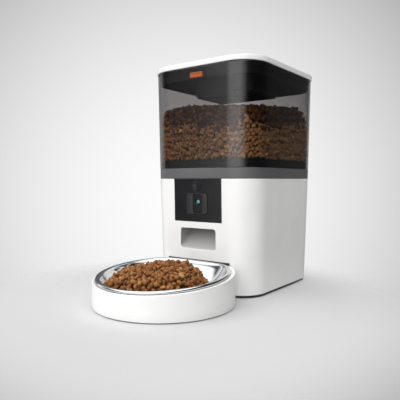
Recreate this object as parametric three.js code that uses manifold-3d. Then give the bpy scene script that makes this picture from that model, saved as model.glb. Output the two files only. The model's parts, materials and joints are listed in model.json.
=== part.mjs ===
// Automatic pet feeder: a white base with a dispenser and a camera panel, a smoked hopper with a
// lid, and a round bowl tray hooked to the front.
// Millimetres, +Z up. -Y is the front, where the food comes out, and +X is the feeder's left hand.
// The origin is under the middle of the whole feeder, on the surface that it stands on.

import * as THREE from 'three';
import { mergeVertices } from 'three/addons/utils/BufferGeometryUtils.js';
import Module from 'manifold-3d';

const wasm = await Module();
wasm.setup();

// ---------------------------------------------------------------- driving dimensions

const GAP = 0.3; // between pieces that touch
const BIG = 400; // longer than the whole feeder, for blocks that only cut

// The body's outline is a rounded rectangle that widens with height.
const BODY_AT_FLOOR = { width: 172.7, depth: 204.1 };
const BODY_AT_WAIST = { width: 180.1, depth: 211.5 };
const BODY_AT_LID = { width: 185.8, depth: 215.1 };
const WAIST = 165; // top of the base housing
const LID_LEVEL = 323.7; // top of the hopper
const CORNER = 40; // corner radius of the outline

const HOUSING_WALL = 2.6;
const HOUSING_BOTTOM = 3.8;
const DECK_BOTTOM = 162.4; // underside of the housing's top

const COLLAR_TOP = 180.2;
const HOPPER_BOTTOM = 180.5;
const HOPPER_WALL = 2.5;
const FUNNEL_RIM = 192;
const THROAT = { halfWidth: 24.3, halfDepth: 22.3, y: -50, bottom: 162.3 };

const LID = { width: 189.3, depth: 218.6, bottom: 324, top: 332.2, edge: 2 };
const SKIRT_BOTTOM = 307.5; // lower edge of the lid's liner
const DESICCANT = { halfWidth: 54, halfDepth: 40, bottom: 296, wall: 1.8 };
const LID_BUTTON = { halfWidth: 10.7, bottom: 308.5, top: 315.7, travel: 2.2 };

const PANEL = { halfWidth: 41.5, bottom: 103.3, top: 164.7, thickness: 2.4 };
const LENS_HEIGHT = 131.6;
const BUTTON_HEIGHT = 154.5;
const MOUTH = { halfWidth: 31, bottom: 63.9, top: 93.6, corner: 4 }; // where food falls out

const DRUM = { y: -50, z: 135, radius: 26, wall: 2, halfWidth: 29 };
const RAMP_TOP = { y: -57, z: 103 };
const PADDLES = 6;
const SHAFT_RADIUS = 4;

const GEAR_MODULE = 1.25;
const PRESSURE_ANGLE = THREE.MathUtils.degToRad(20);
const GEAR_TEETH = { output: 28, idler: 18, pinion: 12 };
const GEAR_FACE = [35.5, 41.5]; // where the gears lie along X

const BATTERY_BAY = { halfWidth: 34, bottom: 24.5, top: 127.5, front: 64, wall: 2 };

const TRAY = { radius: 93.5, y: -177.5, bottom: 1.2, wall: 2.5, top: -0.6 };
const BOWL = { radius: 88.7, flat: 72.5, y: -179.55, z: 40.9, depth: 26 };
const BOWL_TILT = Math.atan(0.08); // the bowl and the tray's top rise towards the housing
const D_SHARPNESS = 14; // how tightly the bowl's outline turns into its flat back
const HOOK = { inner: 23, outer: 39, bottom: 13, top: 19 };

const FRONT = TRAY.y - TRAY.radius;
const BACK = LID.depth / 2;

// ---------------------------------------------------------------- finishes

function finish(color, roughness, metalness = 0, opacity = 1) {
  const transparent = opacity < 1;
  return new THREE.MeshStandardMaterial({ color, roughness, metalness, opacity, transparent });
}

const WHITE = finish(0xf2f2f0, 0.35);
const GREY = finish(0x6d6e70, 0.5);
const BLACK_GLOSS = finish(0x17181a, 0.15);
const BLACK = finish(0x202124, 0.55);
const SMOKED = finish(0x3c3a3a, 0.1, 0, 0.45);
const GLASS = finish(0x1f6f75, 0.05);
const ORANGE = finish(0xd9701c, 0.4);
const STEEL = finish(0xc9cbce, 0.12, 1);
const RUBBER = finish(0x2a2b2d, 0.85);
const SILICONE = finish(0xd8d8d2, 0.6);
const ACETAL = finish(0xe6e2d3, 0.45);
const BOARD = finish(0x1d5a3a, 0.5);
const PAPER = finish(0xe9e4d8, 0.9);

// ---------------------------------------------------------------- shapes

const ALONG_X = new THREE.Matrix4().makeBasis(
  new THREE.Vector3(0, 1, 0), new THREE.Vector3(0, 0, 1), new THREE.Vector3(1, 0, 0));
const ALONG_Y = new THREE.Matrix4().makeBasis(
  new THREE.Vector3(1, 0, 0), new THREE.Vector3(0, 0, 1), new THREE.Vector3(0, -1, 0));

// Turns a closed geometry into a solid that can be cut and joined.
function solid(geometry) {
  const bare = geometry.clone();
  bare.deleteAttribute('normal');
  bare.deleteAttribute('uv');
  const merged = mergeVertices(bare, 1e-4);
  return new wasm.Manifold(new wasm.Mesh({
    numProp: 3,
    vertProperties: new Float32Array(merged.attributes.position.array),
    triVerts: new Uint32Array(merged.index.array),
  }));
}

function toGeometry(manifold) {
  const mesh = manifold.getMesh();
  const geometry = new THREE.BufferGeometry();
  geometry.setAttribute('position', new THREE.BufferAttribute(mesh.vertProperties, 3));
  geometry.setIndex(new THREE.BufferAttribute(mesh.triVerts, 1));
  geometry.computeVertexNormals();
  return geometry;
}

function join(first, ...others) {
  return others.reduce((sum, other) => sum.add(other), first);
}

function cut(first, ...others) {
  return others.reduce((rest, other) => rest.subtract(other), first);
}

function roundedRect(width, depth, radius, x = 0, y = 0) {
  const right = width / 2 - radius;
  const top = depth / 2 - radius;
  const shape = new THREE.Shape();
  shape.absarc(x + right, y + top, radius, 0, Math.PI / 2);
  shape.absarc(x - right, y + top, radius, Math.PI / 2, Math.PI);
  shape.absarc(x - right, y - top, radius, Math.PI, 1.5 * Math.PI);
  shape.absarc(x + right, y - top, radius, 1.5 * Math.PI, 2 * Math.PI);
  return shape;
}

function prism(shape, z0, z1, curveSegments = 4) {
  const settings = { depth: z1 - z0, bevelEnabled: false, curveSegments };
  return new THREE.ExtrudeGeometry(shape, settings).translate(0, 0, z0);
}

// A side view drawn in Y and Z, carried along X.
function sideProfile(points, x0, x1) {
  const shape = new THREE.Shape(points.map(([y, z]) => new THREE.Vector2(y, z)));
  return solid(prism(shape, x0, x1).applyMatrix4(ALONG_X));
}

// A front view drawn in X and Z, carried along Y.
function frontProfile(shape, y0, y1) {
  return solid(prism(shape, -y1, -y0, 3).applyMatrix4(ALONG_Y));
}

function block([x0, x1], [y0, y1], [z0, z1]) {
  const box = new THREE.BoxGeometry(x1 - x0, y1 - y0, z1 - z0);
  return solid(box.translate((x0 + x1) / 2, (y0 + y1) / 2, (z0 + z1) / 2));
}

// A round bar along an axis; a and b are its centre on the other two axes, in X, Y, Z order.
function rod(axis, radius, [from, to], a, b, segments = 20) {
  const bar = new THREE.CylinderGeometry(radius, radius, to - from, segments);
  const middle = (from + to) / 2;
  if (axis === 'x') return solid(bar.rotateZ(Math.PI / 2).translate(middle, a, b));
  if (axis === 'y') return solid(bar.translate(a, middle, b));
  return solid(bar.rotateX(Math.PI / 2).translate(a, b, middle));
}

// Moves the ring of points at one height: scales it about the axis and shifts it along Y.
function squeezeRing(geometry, height, scaleX, scaleY, shiftY = 0) {
  const position = geometry.attributes.position;
  for (let i = 0; i < position.count; i += 1) {
    if (Math.abs(position.getZ(i) - height) < 1e-3) {
      position.setX(i, position.getX(i) * scaleX);
      position.setY(i, position.getY(i) * scaleY + shiftY);
    }
  }
  return geometry;
}

function bodySize(z) {
  const below = z < WAIST;
  const low = below ? BODY_AT_FLOOR : BODY_AT_WAIST;
  const high = below ? BODY_AT_WAIST : BODY_AT_LID;
  const t = below ? z / WAIST : (z - WAIST) / (LID_LEVEL - WAIST);
  return {
    width: THREE.MathUtils.lerp(low.width, high.width, t),
    depth: THREE.MathUtils.lerp(low.depth, high.depth, t),
  };
}

// A block with the body's outline between two heights, drawn in by inset all round.
function bodyBlock(z0, z1, inset) {
  const top = bodySize(z1);
  const bottom = bodySize(z0);
  const width = top.width - 2 * inset;
  const depth = top.depth - 2 * inset;
  const upright = prism(roundedRect(width, depth, CORNER - inset), z0, z1);
  const scaleX = (bottom.width - 2 * inset) / width;
  const scaleY = (bottom.depth - 2 * inset) / depth;
  return solid(squeezeRing(upright, z0, scaleX, scaleY));
}

// A body-wide block whose lower end narrows to the hopper's throat.
function funnelBlock(z0, z1, inset, throatInset) {
  const { width, depth } = bodySize(z1);
  const wide = { x: width - 2 * inset, y: depth - 2 * inset };
  const upright = prism(roundedRect(wide.x, wide.y, CORNER - inset), z0, z1);
  const scaleX = 2 * (THROAT.halfWidth - throatInset) / wide.x;
  const scaleY = 2 * (THROAT.halfDepth - throatInset) / wide.y;
  return solid(squeezeRing(upright, z0, scaleX, scaleY, THROAT.y));
}

function throatBlock(z0, z1, inset) {
  const x = THROAT.halfWidth - inset;
  const y = THROAT.halfDepth - inset;
  return block([-x, x], [THROAT.y - y, THROAT.y + y], [z0, z1]);
}

// A profile of [radius, height] pairs turned about Z and then pressed to the bowl's D outline,
// a circle whose back is cut straight across.
function dTurned(profile, segments = 48) {
  const points = profile.map(([radius, height]) => new THREE.Vector2(radius, height));
  const geometry = new THREE.LatheGeometry(points, segments).rotateX(Math.PI / 2);
  const position = geometry.attributes.position;
  for (let i = 0; i < position.count; i += 1) {
    const angle = Math.atan2(position.getY(i), position.getX(i));
    const towardsFlat = Math.max(Math.sin(angle), 1e-3) * BOWL.radius / BOWL.flat;
    const pull = (1 + towardsFlat ** D_SHARPNESS) ** (-1 / D_SHARPNESS);
    position.setX(i, position.getX(i) * pull);
    position.setY(i, position.getY(i) * pull);
  }
  return solid(geometry);
}

// A spur gear about X with involute flanks, with a tooth centred on the angle `turn`, which is
// counted from +Y towards +Z.
function gear(teeth, turn, centre, backlash = 0.3) {
  const pitch = teeth * GEAR_MODULE / 2;
  const base = pitch * Math.cos(PRESSURE_ANGLE);
  const tip = pitch + 0.85 * GEAR_MODULE;
  const root = pitch - 1.2 * GEAR_MODULE;
  const involute = (angle) => Math.tan(angle) - angle;
  const halfTooth = Math.PI / (2 * teeth) - backlash / (2 * pitch);
  const halfAngle = (radius) => halfTooth + involute(PRESSURE_ANGLE)
    - involute(Math.acos(Math.min(1, base / radius)));
  const radii = [root, Math.max(base, root + 0.05), (base + 2 * tip) / 3, tip];
  const points = [];
  for (let tooth = 0; tooth < teeth; tooth += 1) {
    const middle = turn + tooth * 2 * Math.PI / teeth;
    const at = (radius, angle) => points.push([
      centre.y + radius * Math.cos(angle), centre.z + radius * Math.sin(angle)]);
    radii.forEach((radius) => at(radius, middle - halfAngle(radius)));
    [...radii].reverse().forEach((radius) => at(radius, middle + halfAngle(radius)));
  }
  return sideProfile(points, ...GEAR_FACE);
}

// ---------------------------------------------------------------- the scene graph

const feeder = new THREE.Group();
feeder.position.y = -(FRONT + BACK) / 2;

function place(name, shape, material, parent = feeder) {
  const geometry = shape instanceof THREE.BufferGeometry ? shape : toGeometry(shape);
  const mesh = new THREE.Mesh(geometry, material);
  mesh.name = name;
  parent.add(mesh);
  return mesh;
}

function frontFace(z) {
  return -bodySize(z).depth / 2;
}

// ---------------------------------------------------------------- base housing and its bottom

const SCREW = { x: 71.5, y: 87 };
const FEET = { x: 58, y: 72, radius: 9, height: 3.9 };
const SIDES = [['left', 1], ['right', -1]];
const ENDS = [['front', -1], ['rear', 1]];
const JACK = { x: 44.5, z: 22 };
const SPEAKER = { x: -45, y: 20, radius: 20, bottom: 7, top: 17 };
const SOUND_SLOTS = { each: [-2, -1, 0, 1, 2], spacing: 7, halfWidth: 1.2, halfLength: 12 };
const POST = { radius: 4, bottom: 8, top: 32, bore: 1.8 }; // screw posts in the housing's corners

function baseHousing() {
  const post = ([, sideways], [, lengthways]) => rod(
    'z', POST.radius, [POST.bottom, POST.top], sideways * SCREW.x, lengthways * SCREW.y, 12);
  const postHole = ([, sideways], [, lengthways]) => rod(
    'z', POST.bore, [POST.bottom - 1, POST.top - 4], sideways * SCREW.x, lengthways * SCREW.y, 8);
  const each = (make) => SIDES.flatMap((side) => ENDS.map((end) => make(side, end)));
  const shell = cut(
    bodyBlock(HOUSING_BOTTOM, WAIST, 0),
    bodyBlock(HOUSING_BOTTOM - 1, DECK_BOTTOM, HOUSING_WALL),
  );
  const room = 1.2; // round the throat
  const slots = SIDES.map(([, way]) => {
    const ends = [way * (HOOK.inner - 1), way * (HOOK.outer + 1)].sort((a, b) => a - b);
    return block(ends, [-BIG, -95], [HOOK.bottom - 1, HOOK.top + 1]);
  });
  const mouth = roundedRect(
    2 * MOUTH.halfWidth, MOUTH.top - MOUTH.bottom, MOUTH.corner, 0, (MOUTH.top + MOUTH.bottom) / 2);
  const bay = BATTERY_BAY;
  return cut(
    join(shell, ...each(post)),
    ...each(postHole),
    throatBlock(DECK_BOTTOM - 1, WAIST + 1, -room),
    block([-PANEL.halfWidth - GAP, PANEL.halfWidth + GAP], [-BIG, -101.4],
      [PANEL.bottom - GAP, WAIST + 1]),
    frontProfile(mouth, -BIG, -95),
    block([-bay.halfWidth, bay.halfWidth], [95, BIG], [bay.bottom, bay.top]),
    rod('y', 5, [95, 110], JACK.x, JACK.z, 16),
    ...slots,
  );
}

function bottomPlate() {
  const flange = bodyBlock(1.5, 3.5, 1);
  const plug = bodyBlock(3.4, 6.5, HOUSING_WALL + 0.5);
  const recesses = SIDES.flatMap(([, sideways]) => ENDS.map(([, lengthways]) => rod(
    'z', FEET.radius + GAP, [0, FEET.height + GAP], sideways * FEET.x, lengthways * FEET.y)));
  const screwHoles = SIDES.flatMap(([, sideways]) => ENDS.flatMap(([, lengthways]) => [
    rod('z', 3.6, [0, 3.2], sideways * SCREW.x, lengthways * SCREW.y, 12),
    rod('z', POST.bore, [0, 8], sideways * SCREW.x, lengthways * SCREW.y, 8)]));
  const { each, spacing, halfWidth, halfLength } = SOUND_SLOTS;
  const soundSlots = each.map((n) => SPEAKER.x + spacing * n).map((x) => block(
    [x - halfWidth, x + halfWidth], [SPEAKER.y - halfLength, SPEAKER.y + halfLength], [0, 8]));
  return cut(join(flange, plug), ...recesses, ...screwHoles, ...soundSlots);
}

place('base_housing', baseHousing(), WHITE);
place('bottom_plate', bottomPlate(), BLACK);
for (const [side, sideways] of SIDES) {
  for (const [end, lengthways] of ENDS) {
    const foot = rod('z', FEET.radius, [0, FEET.height], sideways * FEET.x, lengthways * FEET.y);
    place(`foot_${end}_${side}`, foot, RUBBER);
    const head = rod('z', 3.2, [1.7, 2.9], sideways * SCREW.x, lengthways * SCREW.y, 12);
    const stem = rod('z', 1.4, [2.8, 20], sideways * SCREW.x, lengthways * SCREW.y, 8);
    place(`bottom_screw_${end}_${side}`, join(head, stem), STEEL);
  }
}

// ---------------------------------------------------------------- front panel and camera

// These pieces are built upright about the panel's middle, with y = 0 at its front, and lean back
// with the housing's front wall.
const panelMiddle = (PANEL.bottom + PANEL.top) / 2;
const panelGroup = new THREE.Group();
panelGroup.position.set(0, frontFace(panelMiddle), panelMiddle);
panelGroup.rotation.x = Math.atan((BODY_AT_WAIST.depth - BODY_AT_FLOOR.depth) / 2 / WAIST);
feeder.add(panelGroup);

const lensZ = LENS_HEIGHT - panelMiddle;
const buttonZ = BUTTON_HEIGHT - panelMiddle;
const BEZEL = { width: 34.4, height: 29.7, z: lensZ - 2.4 };
const WINDOW = { width: 15, height: 26.4 };

function plate(width, height, radius, z, [y0, y1]) {
  return frontProfile(roundedRect(width, height, radius, 0, z), y0, y1);
}

const panelHeight = PANEL.top - PANEL.bottom;
place('front_panel', cut(
  plate(2 * PANEL.halfWidth, panelHeight, 0.8, 0, [0, PANEL.thickness]),
  plate(BEZEL.width + 2 * GAP, BEZEL.height + 2 * GAP, 4, BEZEL.z, [-1, 4]),
  rod('y', 6.6, [-1, 4], 0, buttonZ),
), BLACK_GLOSS, panelGroup);
place('camera_bezel', cut(
  plate(BEZEL.width, BEZEL.height, 3.7, BEZEL.z, [-0.4, 2]),
  plate(WINDOW.width + 2 * GAP, WINDOW.height + 2 * GAP, 3, BEZEL.z, [-1, 4]),
), BLACK, panelGroup);
place('camera_window', cut(
  plate(WINDOW.width, WINDOW.height, 2.7, BEZEL.z, [0.2, 1.4]),
  rod('y', 5.6, [-1, 4], 0, lensZ),
), BLACK_GLOSS, panelGroup);
place('lens_barrel', cut(
  rod('y', 5.3, [-0.5, 9.6], 0, lensZ, 24),
  rod('y', 4, [-1, 8], 0, lensZ, 24),
), BLACK, panelGroup);
const lensCap = new THREE.SphereGeometry(4.6, 20, 10);
const lensBody = solid(lensCap.translate(0, 5, lensZ));
place('camera_lens', lensBody.intersect(rod('y', 3.7, [0.3, 4.6], 0, lensZ, 20)), GLASS, panelGroup);
place('camera_board', join(
  block([-14, 14], [10, 11.6], [lensZ - 13, lensZ + 13]),
  block([-5, 5], [11.5, 14], [lensZ - 9, lensZ - 1]),
), BOARD, panelGroup);
place('panel_board', join(
  block([-30, 30], [6.6, 8.2], [buttonZ - 6, buttonZ + 6]),
  block([-3, 3], [4.4, 6.7], [buttonZ - 3, buttonZ + 3]),
), BOARD, panelGroup);
place('control_button', join(
  rod('y', 6.3, [-0.4, 2.8], 0, buttonZ, 24),
  rod('y', 7.4, [2.7, 3.3], 0, buttonZ, 24),
), BLACK_GLOSS, panelGroup);

// ---------------------------------------------------------------- dispenser

const rampSlope = (RAMP_TOP.z - MOUTH.bottom) / (RAMP_TOP.y + 103.5);
const BUSH_RADIUS = 6.5;
const NECK_TOP = 161.5;
const CHUTE = { front: -100.6, back: -57, passageFront: -76.5, top: 106.4, wall: 2 };

// The chute is a duct: the ramp is its floor, and a shaft at its back leads up to the drum.
function chuteLiner() {
  const rampAt = (y) => RAMP_TOP.z + rampSlope * (y - RAMP_TOP.y);
  const { front, back, passageFront, top, wall } = CHUTE;
  const inside = [[front - 4, rampAt(front - 4)], [back, RAMP_TOP.z], [back, top + 3],
    [passageFront, top + 3], [passageFront, MOUTH.top + 4], [passageFront - 4, MOUTH.top],
    [front - 4, MOUTH.top]];
  const outside = [[front, rampAt(front) - wall - 1], [back + wall, RAMP_TOP.z - wall - 0.6],
    [back + wall, top], [passageFront - wall, top], [passageFront - wall, MOUTH.top + 5],
    [passageFront - 5, MOUTH.top + wall], [front, MOUTH.top + wall]];
  return cut(
    sideProfile(outside, -MOUTH.halfWidth - wall, MOUTH.halfWidth + wall),
    sideProfile(inside, -MOUTH.halfWidth, MOUTH.halfWidth),
  );
}

// The drum's housing: a neck above it takes food from the hopper, and a skirt in front drops it
// down the chute.
function dispenserHousing() {
  const outerRadius = DRUM.radius + DRUM.wall;
  const end = DRUM.halfWidth + 2;
  const outer = join(
    rod('x', outerRadius, [-end, end], DRUM.y, DRUM.z, 36),
    block([-end, end], [DRUM.y - 22, DRUM.y + 22], [DRUM.z, NECK_TOP]),
    block([-end, end], [DRUM.y - 28, DRUM.y - 4], [CHUTE.top + GAP, DRUM.z]),
  );
  const inside = DRUM.halfWidth;
  return cut(
    outer,
    block([-BIG, BIG], [-BIG, BIG], [NECK_TOP, BIG]),
    rod('x', DRUM.radius, [-inside, inside], DRUM.y, DRUM.z, 36),
    block([-inside, inside], [DRUM.y - 20, DRUM.y + 20], [DRUM.z, 170]),
    block([-inside, inside], [DRUM.y - 26, DRUM.y - 7], [90, DRUM.z]),
    rod('x', BUSH_RADIUS + GAP, [-BIG, BIG], DRUM.y, DRUM.z),
  );
}

function dispensingWheel() {
  const hub = rod('x', 7, [-26.5, 26.5], DRUM.y, DRUM.z, 24);
  const paddles = [];
  for (let n = 0; n < PADDLES; n += 1) {
    const paddle = new THREE.BoxGeometry(53, 20, 2);
    paddle.translate(0, 15.3, 0);
    paddle.rotateX((n + 0.5) * 2 * Math.PI / PADDLES);
    paddles.push(solid(paddle.translate(0, DRUM.y, DRUM.z)));
  }
  const bore = rod('x', SHAFT_RADIUS + GAP, [-BIG, BIG], DRUM.y, DRUM.z);
  return cut(join(hub, ...paddles), bore);
}

const sensorBlock = (way) => block(
  [33.4, 38.4].map((x) => x * way).sort((a, b) => a - b), [-75, -67], [98, 106]);

place('chute_liner', chuteLiner(), WHITE);
place('dispenser_housing', dispenserHousing(), BLACK);
place('dispensing_wheel', dispensingWheel(), SILICONE);
place('rotor_shaft', rod('x', SHAFT_RADIUS, [-34, 42.5], DRUM.y, DRUM.z), STEEL);
for (const [side, way] of SIDES) {
  const ends = [27.4, 31].map((x) => x * way).sort((a, b) => a - b);
  const bush = cut(
    rod('x', BUSH_RADIUS, ends, DRUM.y, DRUM.z),
    rod('x', SHAFT_RADIUS + GAP, [-BIG, BIG], DRUM.y, DRUM.z));
  place(`rotor_bush_${side}`, bush, ACETAL);
  place(`chute_sensor_${side}`, sensorBlock(way), BLACK);
}

// ---------------------------------------------------------------- gears and motor

const meshing = (first, second) => (first + second) * GEAR_MODULE / 2 + 0.1;
const polar = (from, distance, degrees) => ({
  y: from.y + distance * Math.cos(THREE.MathUtils.degToRad(degrees)),
  z: from.z + distance * Math.sin(THREE.MathUtils.degToRad(degrees)),
});
const TO_IDLER = -10; // degrees from +Y, as the gears lie across the housing
const TO_PINION = 5;
const outputCentre = { y: DRUM.y, z: DRUM.z };
const idlerCentre = polar(outputCentre, meshing(GEAR_TEETH.output, GEAR_TEETH.idler), TO_IDLER);
const pinionCentre = polar(idlerCentre, meshing(GEAR_TEETH.idler, GEAR_TEETH.pinion), TO_PINION);

// The turn of a gear that puts a gap where its neighbour, turned by `turn`, has a tooth.
function meshedTurn(turn, teeth, nextTeeth, degrees) {
  const direction = THREE.MathUtils.degToRad(degrees);
  const phase = (direction - turn) * teeth / (2 * Math.PI);
  return direction + Math.PI - (0.5 - phase) * 2 * Math.PI / nextTeeth;
}

const idlerTurn = meshedTurn(0, GEAR_TEETH.output, GEAR_TEETH.idler, TO_IDLER);
const pinionTurn = meshedTurn(idlerTurn, GEAR_TEETH.idler, GEAR_TEETH.pinion, TO_PINION);
const CASE = { y: [-72, 10], z: [113.5, 157], plate: [31.3, 33.3], cup: [33.6, 45], wall: 2 };
const MOTOR = { radius: 12, from: 45.3, to: 78, shaftRoom: 3 };
const MOTOR_SCREWS = [pinionCentre.z - 9.5, pinionCentre.z + 9.5];
const MOTOR_SCREW_HOLE = 1.3;

function gearCase() {
  const inside = ([low, high]) => [low + CASE.wall, high - CASE.wall];
  return cut(
    block(CASE.cup, CASE.y, CASE.z),
    block([CASE.cup[0] - 1, CASE.cup[1] - CASE.wall], inside(CASE.y), inside(CASE.z)),
    rod('x', MOTOR.shaftRoom, [40, 50], pinionCentre.y, pinionCentre.z),
    ...MOTOR_SCREWS.map((z) => rod('x', MOTOR_SCREW_HOLE, [40, 50], pinionCentre.y, z, 8)),
  );
}

place('gear_plate', cut(
  block(CASE.plate, CASE.y, CASE.z),
  rod('x', SHAFT_RADIUS + 0.4, [30, 35], outputCentre.y, outputCentre.z),
), BLACK);
place('gear_case', gearCase(), BLACK);
place('output_gear', cut(
  gear(GEAR_TEETH.output, 0, outputCentre),
  rod('x', SHAFT_RADIUS + GAP, [30, 45], outputCentre.y, outputCentre.z),
), ACETAL);
place('idler_gear', cut(
  gear(GEAR_TEETH.idler, idlerTurn, idlerCentre),
  rod('x', 2.4, [30, 45], idlerCentre.y, idlerCentre.z, 16),
), ACETAL);
place('idler_pin', rod('x', 2, [33.6, 42.7], idlerCentre.y, idlerCentre.z, 16), STEEL);
place('motor_pinion', join(
  gear(GEAR_TEETH.pinion, pinionTurn, pinionCentre),
  rod('x', 2.5, [41, 52], pinionCentre.y, pinionCentre.z, 16),
), STEEL);
place('motor', cut(
  join(
    rod('x', MOTOR.radius, [MOTOR.from, MOTOR.to], pinionCentre.y, pinionCentre.z, 28),
    rod('x', 4, [MOTOR.to - 1, MOTOR.to + 2], pinionCentre.y, pinionCentre.z, 16),
  ),
  rod('x', MOTOR.shaftRoom, [40, 53], pinionCentre.y, pinionCentre.z, 16),
  ...MOTOR_SCREWS.map((z) => rod('x', MOTOR_SCREW_HOLE, [40, 50], pinionCentre.y, z, 8)),
), STEEL);
MOTOR_SCREWS.forEach((z, n) => place(`motor_screw_${n + 1}`, join(
  rod('x', 2, [41.9, 42.7], pinionCentre.y, z, 10),
  rod('x', 1, [42.6, 49], pinionCentre.y, z, 8),
), STEEL));

// ---------------------------------------------------------------- electronics and batteries

place('main_board', join(
  block([-80, -78.4], [-45, 55], [25, 95]),
  block([-78.5, -76], [-20, -2], [50, 68]),
  block([-78.5, -74], [20, 34], [40, 58]),
  block([-78.5, -72], [-40, -30], [30, 60]),
), BOARD);
place('speaker', cut(
  rod('z', SPEAKER.radius, [SPEAKER.bottom, SPEAKER.top], SPEAKER.x, SPEAKER.y, 24),
  rod('z', SPEAKER.radius - 3, [SPEAKER.bottom - 1, SPEAKER.bottom + 2], SPEAKER.x, SPEAKER.y, 24),
), BLACK);
place('dc_jack', join(
  cut(
    join(
      block([JACK.x - 6, JACK.x + 6], [86, 99.2], [JACK.z - 6, JACK.z + 6]),
      rod('y', 4.6, [99, 102.2], JACK.x, JACK.z, 16),
    ),
    rod('y', 2.9, [90, 105], JACK.x, JACK.z, 16),
  ),
  rod('y', 0.9, [88, 101], JACK.x, JACK.z, 8),
), BLACK);

function batteryBox() {
  const { halfWidth, bottom, top, front, wall } = BATTERY_BAY;
  return cut(
    block([-halfWidth - wall, halfWidth + wall], [front - wall, 99.6], [bottom - wall, top + wall]),
    block([-halfWidth, halfWidth], [front, 105], [bottom, top]),
  );
}

function batteryDoor() {
  const { halfWidth, bottom, top } = BATTERY_BAY;
  const skin = cut(
    bodyBlock(bottom + 0.4, top - 0.4, 0),
    bodyBlock(bottom - 1, top + 1, 2.2));
  const area = block([-halfWidth + 0.4, halfWidth - 0.4], [95, BIG], [bottom, top]);
  const grip = block([-12, 12], [103.6, BIG], [top - 12, top - 8]);
  return cut(skin.intersect(area), grip);
}

place('battery_box', batteryBox(), BLACK);
place('battery_door', batteryDoor(), WHITE);
for (const [side, way] of SIDES) {
  const ends = [33, 33.6].map((x) => x * way).sort((a, b) => a - b);
  place(`battery_contact_${side}`, block(ends, [70, 92], [30, 122]), STEEL);
}

// ---------------------------------------------------------------- hopper

const buttonMiddle = (LID_BUTTON.bottom + LID_BUTTON.top) / 2;
const hopperFront = frontFace(buttonMiddle);

place('hopper_collar', cut(
  bodyBlock(WAIST + GAP, COLLAR_TOP, 0),
  bodyBlock(WAIST, COLLAR_TOP + GAP, 3),
), GREY);
place('hopper_tank', cut(
  bodyBlock(HOPPER_BOTTOM, LID_LEVEL - GAP, 0),
  bodyBlock(HOPPER_BOTTOM - 1, LID_LEVEL + 1, HOPPER_WALL),
  block([-LID_BUTTON.halfWidth - GAP, LID_BUTTON.halfWidth + GAP], [-BIG, -95],
    [LID_BUTTON.bottom - GAP, LID_BUTTON.top + GAP]),
), SMOKED);
place('hopper_funnel', cut(
  join(
    bodyBlock(181, FUNNEL_RIM, HOPPER_WALL + 0.4),
    funnelBlock(166, 181, HOPPER_WALL + 0.4, 0),
    throatBlock(THROAT.bottom, 166.2, 0),
  ),
  bodyBlock(184, FUNNEL_RIM + 1, HOPPER_WALL + 2.4),
  funnelBlock(168.5, 184, HOPPER_WALL + 2.4, 2),
  throatBlock(THROAT.bottom - 1, 168.6, 2),
), BLACK);
place('lid_button', join(
  block([-LID_BUTTON.halfWidth, LID_BUTTON.halfWidth], [hopperFront - 0.7, hopperFront + 5.6],
    [LID_BUTTON.bottom, LID_BUTTON.top]),
  block([-LID_BUTTON.halfWidth - 1.3, LID_BUTTON.halfWidth + 1.3],
    [hopperFront + HOPPER_WALL + 0.4, hopperFront + HOPPER_WALL + 1.8],
    [LID_BUTTON.bottom - 1.2, LID_BUTTON.top + 1.2]),
), ORANGE);

// ---------------------------------------------------------------- lid

function lidCover() {
  const { width, depth, bottom, top, edge } = LID;
  const shape = roundedRect(width - 2 * edge, depth - 2 * edge, CORNER);
  const slab = new THREE.ExtrudeGeometry(shape, {
    depth: top - bottom - 2 * edge, curveSegments: 4,
    bevelThickness: edge, bevelSize: edge, bevelSegments: 2,
  });
  const pocket = prism(roundedRect(width - 6, depth - 6, CORNER - 1), bottom - 1, 329.4);
  return cut(solid(slab.translate(0, 0, bottom + edge)), solid(pocket));
}

function lidLiner() {
  const plateShape = roundedRect(LID.width - 6.6, LID.depth - 6.6, CORNER - 1.3);
  const latchRoom = block([-14, 14], [-BIG, hopperFront + 8.6], [SKIRT_BOTTOM - 5, 317.8]);
  return cut(
    join(bodyBlock(SKIRT_BOTTOM, 324.2, HOPPER_WALL + 1.8), solid(prism(plateShape, 324, 329.1))),
    bodyBlock(SKIRT_BOTTOM - 1, 326.6, HOPPER_WALL + 4),
    latchRoom,
  );
}

function desiccantBox() {
  const { halfWidth, halfDepth, bottom, wall } = DESICCANT;
  const inner = [2 * (halfWidth - wall), 2 * (halfDepth - wall), 4];
  return cut(
    solid(prism(roundedRect(2 * halfWidth, 2 * halfDepth, 6), bottom, 326.3, 2)),
    solid(prism(roundedRect(...inner), bottom - 1, 324, 2)),
  );
}

function desiccantCover() {
  const { halfWidth, halfDepth, bottom } = DESICCANT;
  const slots = [-3, -2, -1, 0, 1, 2, 3].map(
    (n) => block([12 * n - 1.5, 12 * n + 1.5], [-22, 22], [bottom - 5, bottom + 1]));
  const lid = prism(roundedRect(2 * halfWidth - 5, 2 * halfDepth - 5, 4), bottom - 3, bottom - GAP, 2);
  return cut(solid(lid), ...slots);
}

place('lid_cover', lidCover(), WHITE);
place('lid_liner', lidLiner(), BLACK);
place('lid_seal', cut(
  bodyBlock(318.4, 321.4, HOPPER_WALL + 0.3),
  bodyBlock(318, 322, HOPPER_WALL + 1.5),
), SILICONE);
place('desiccant_box', desiccantBox(), BLACK);
place('desiccant_pack', prism(roundedRect(96, 68, 8), 298, 318, 2), PAPER);
place('desiccant_cover', desiccantCover(), BLACK);

// ---------------------------------------------------------------- tray and bowl

// The bowl's own frame lies in the plane of its rim.
function tilted(shape) {
  const degrees = THREE.MathUtils.radToDeg(BOWL_TILT);
  return shape.rotate([degrees, 0, 0]).translate([0, BOWL.y, BOWL.z]);
}

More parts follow.
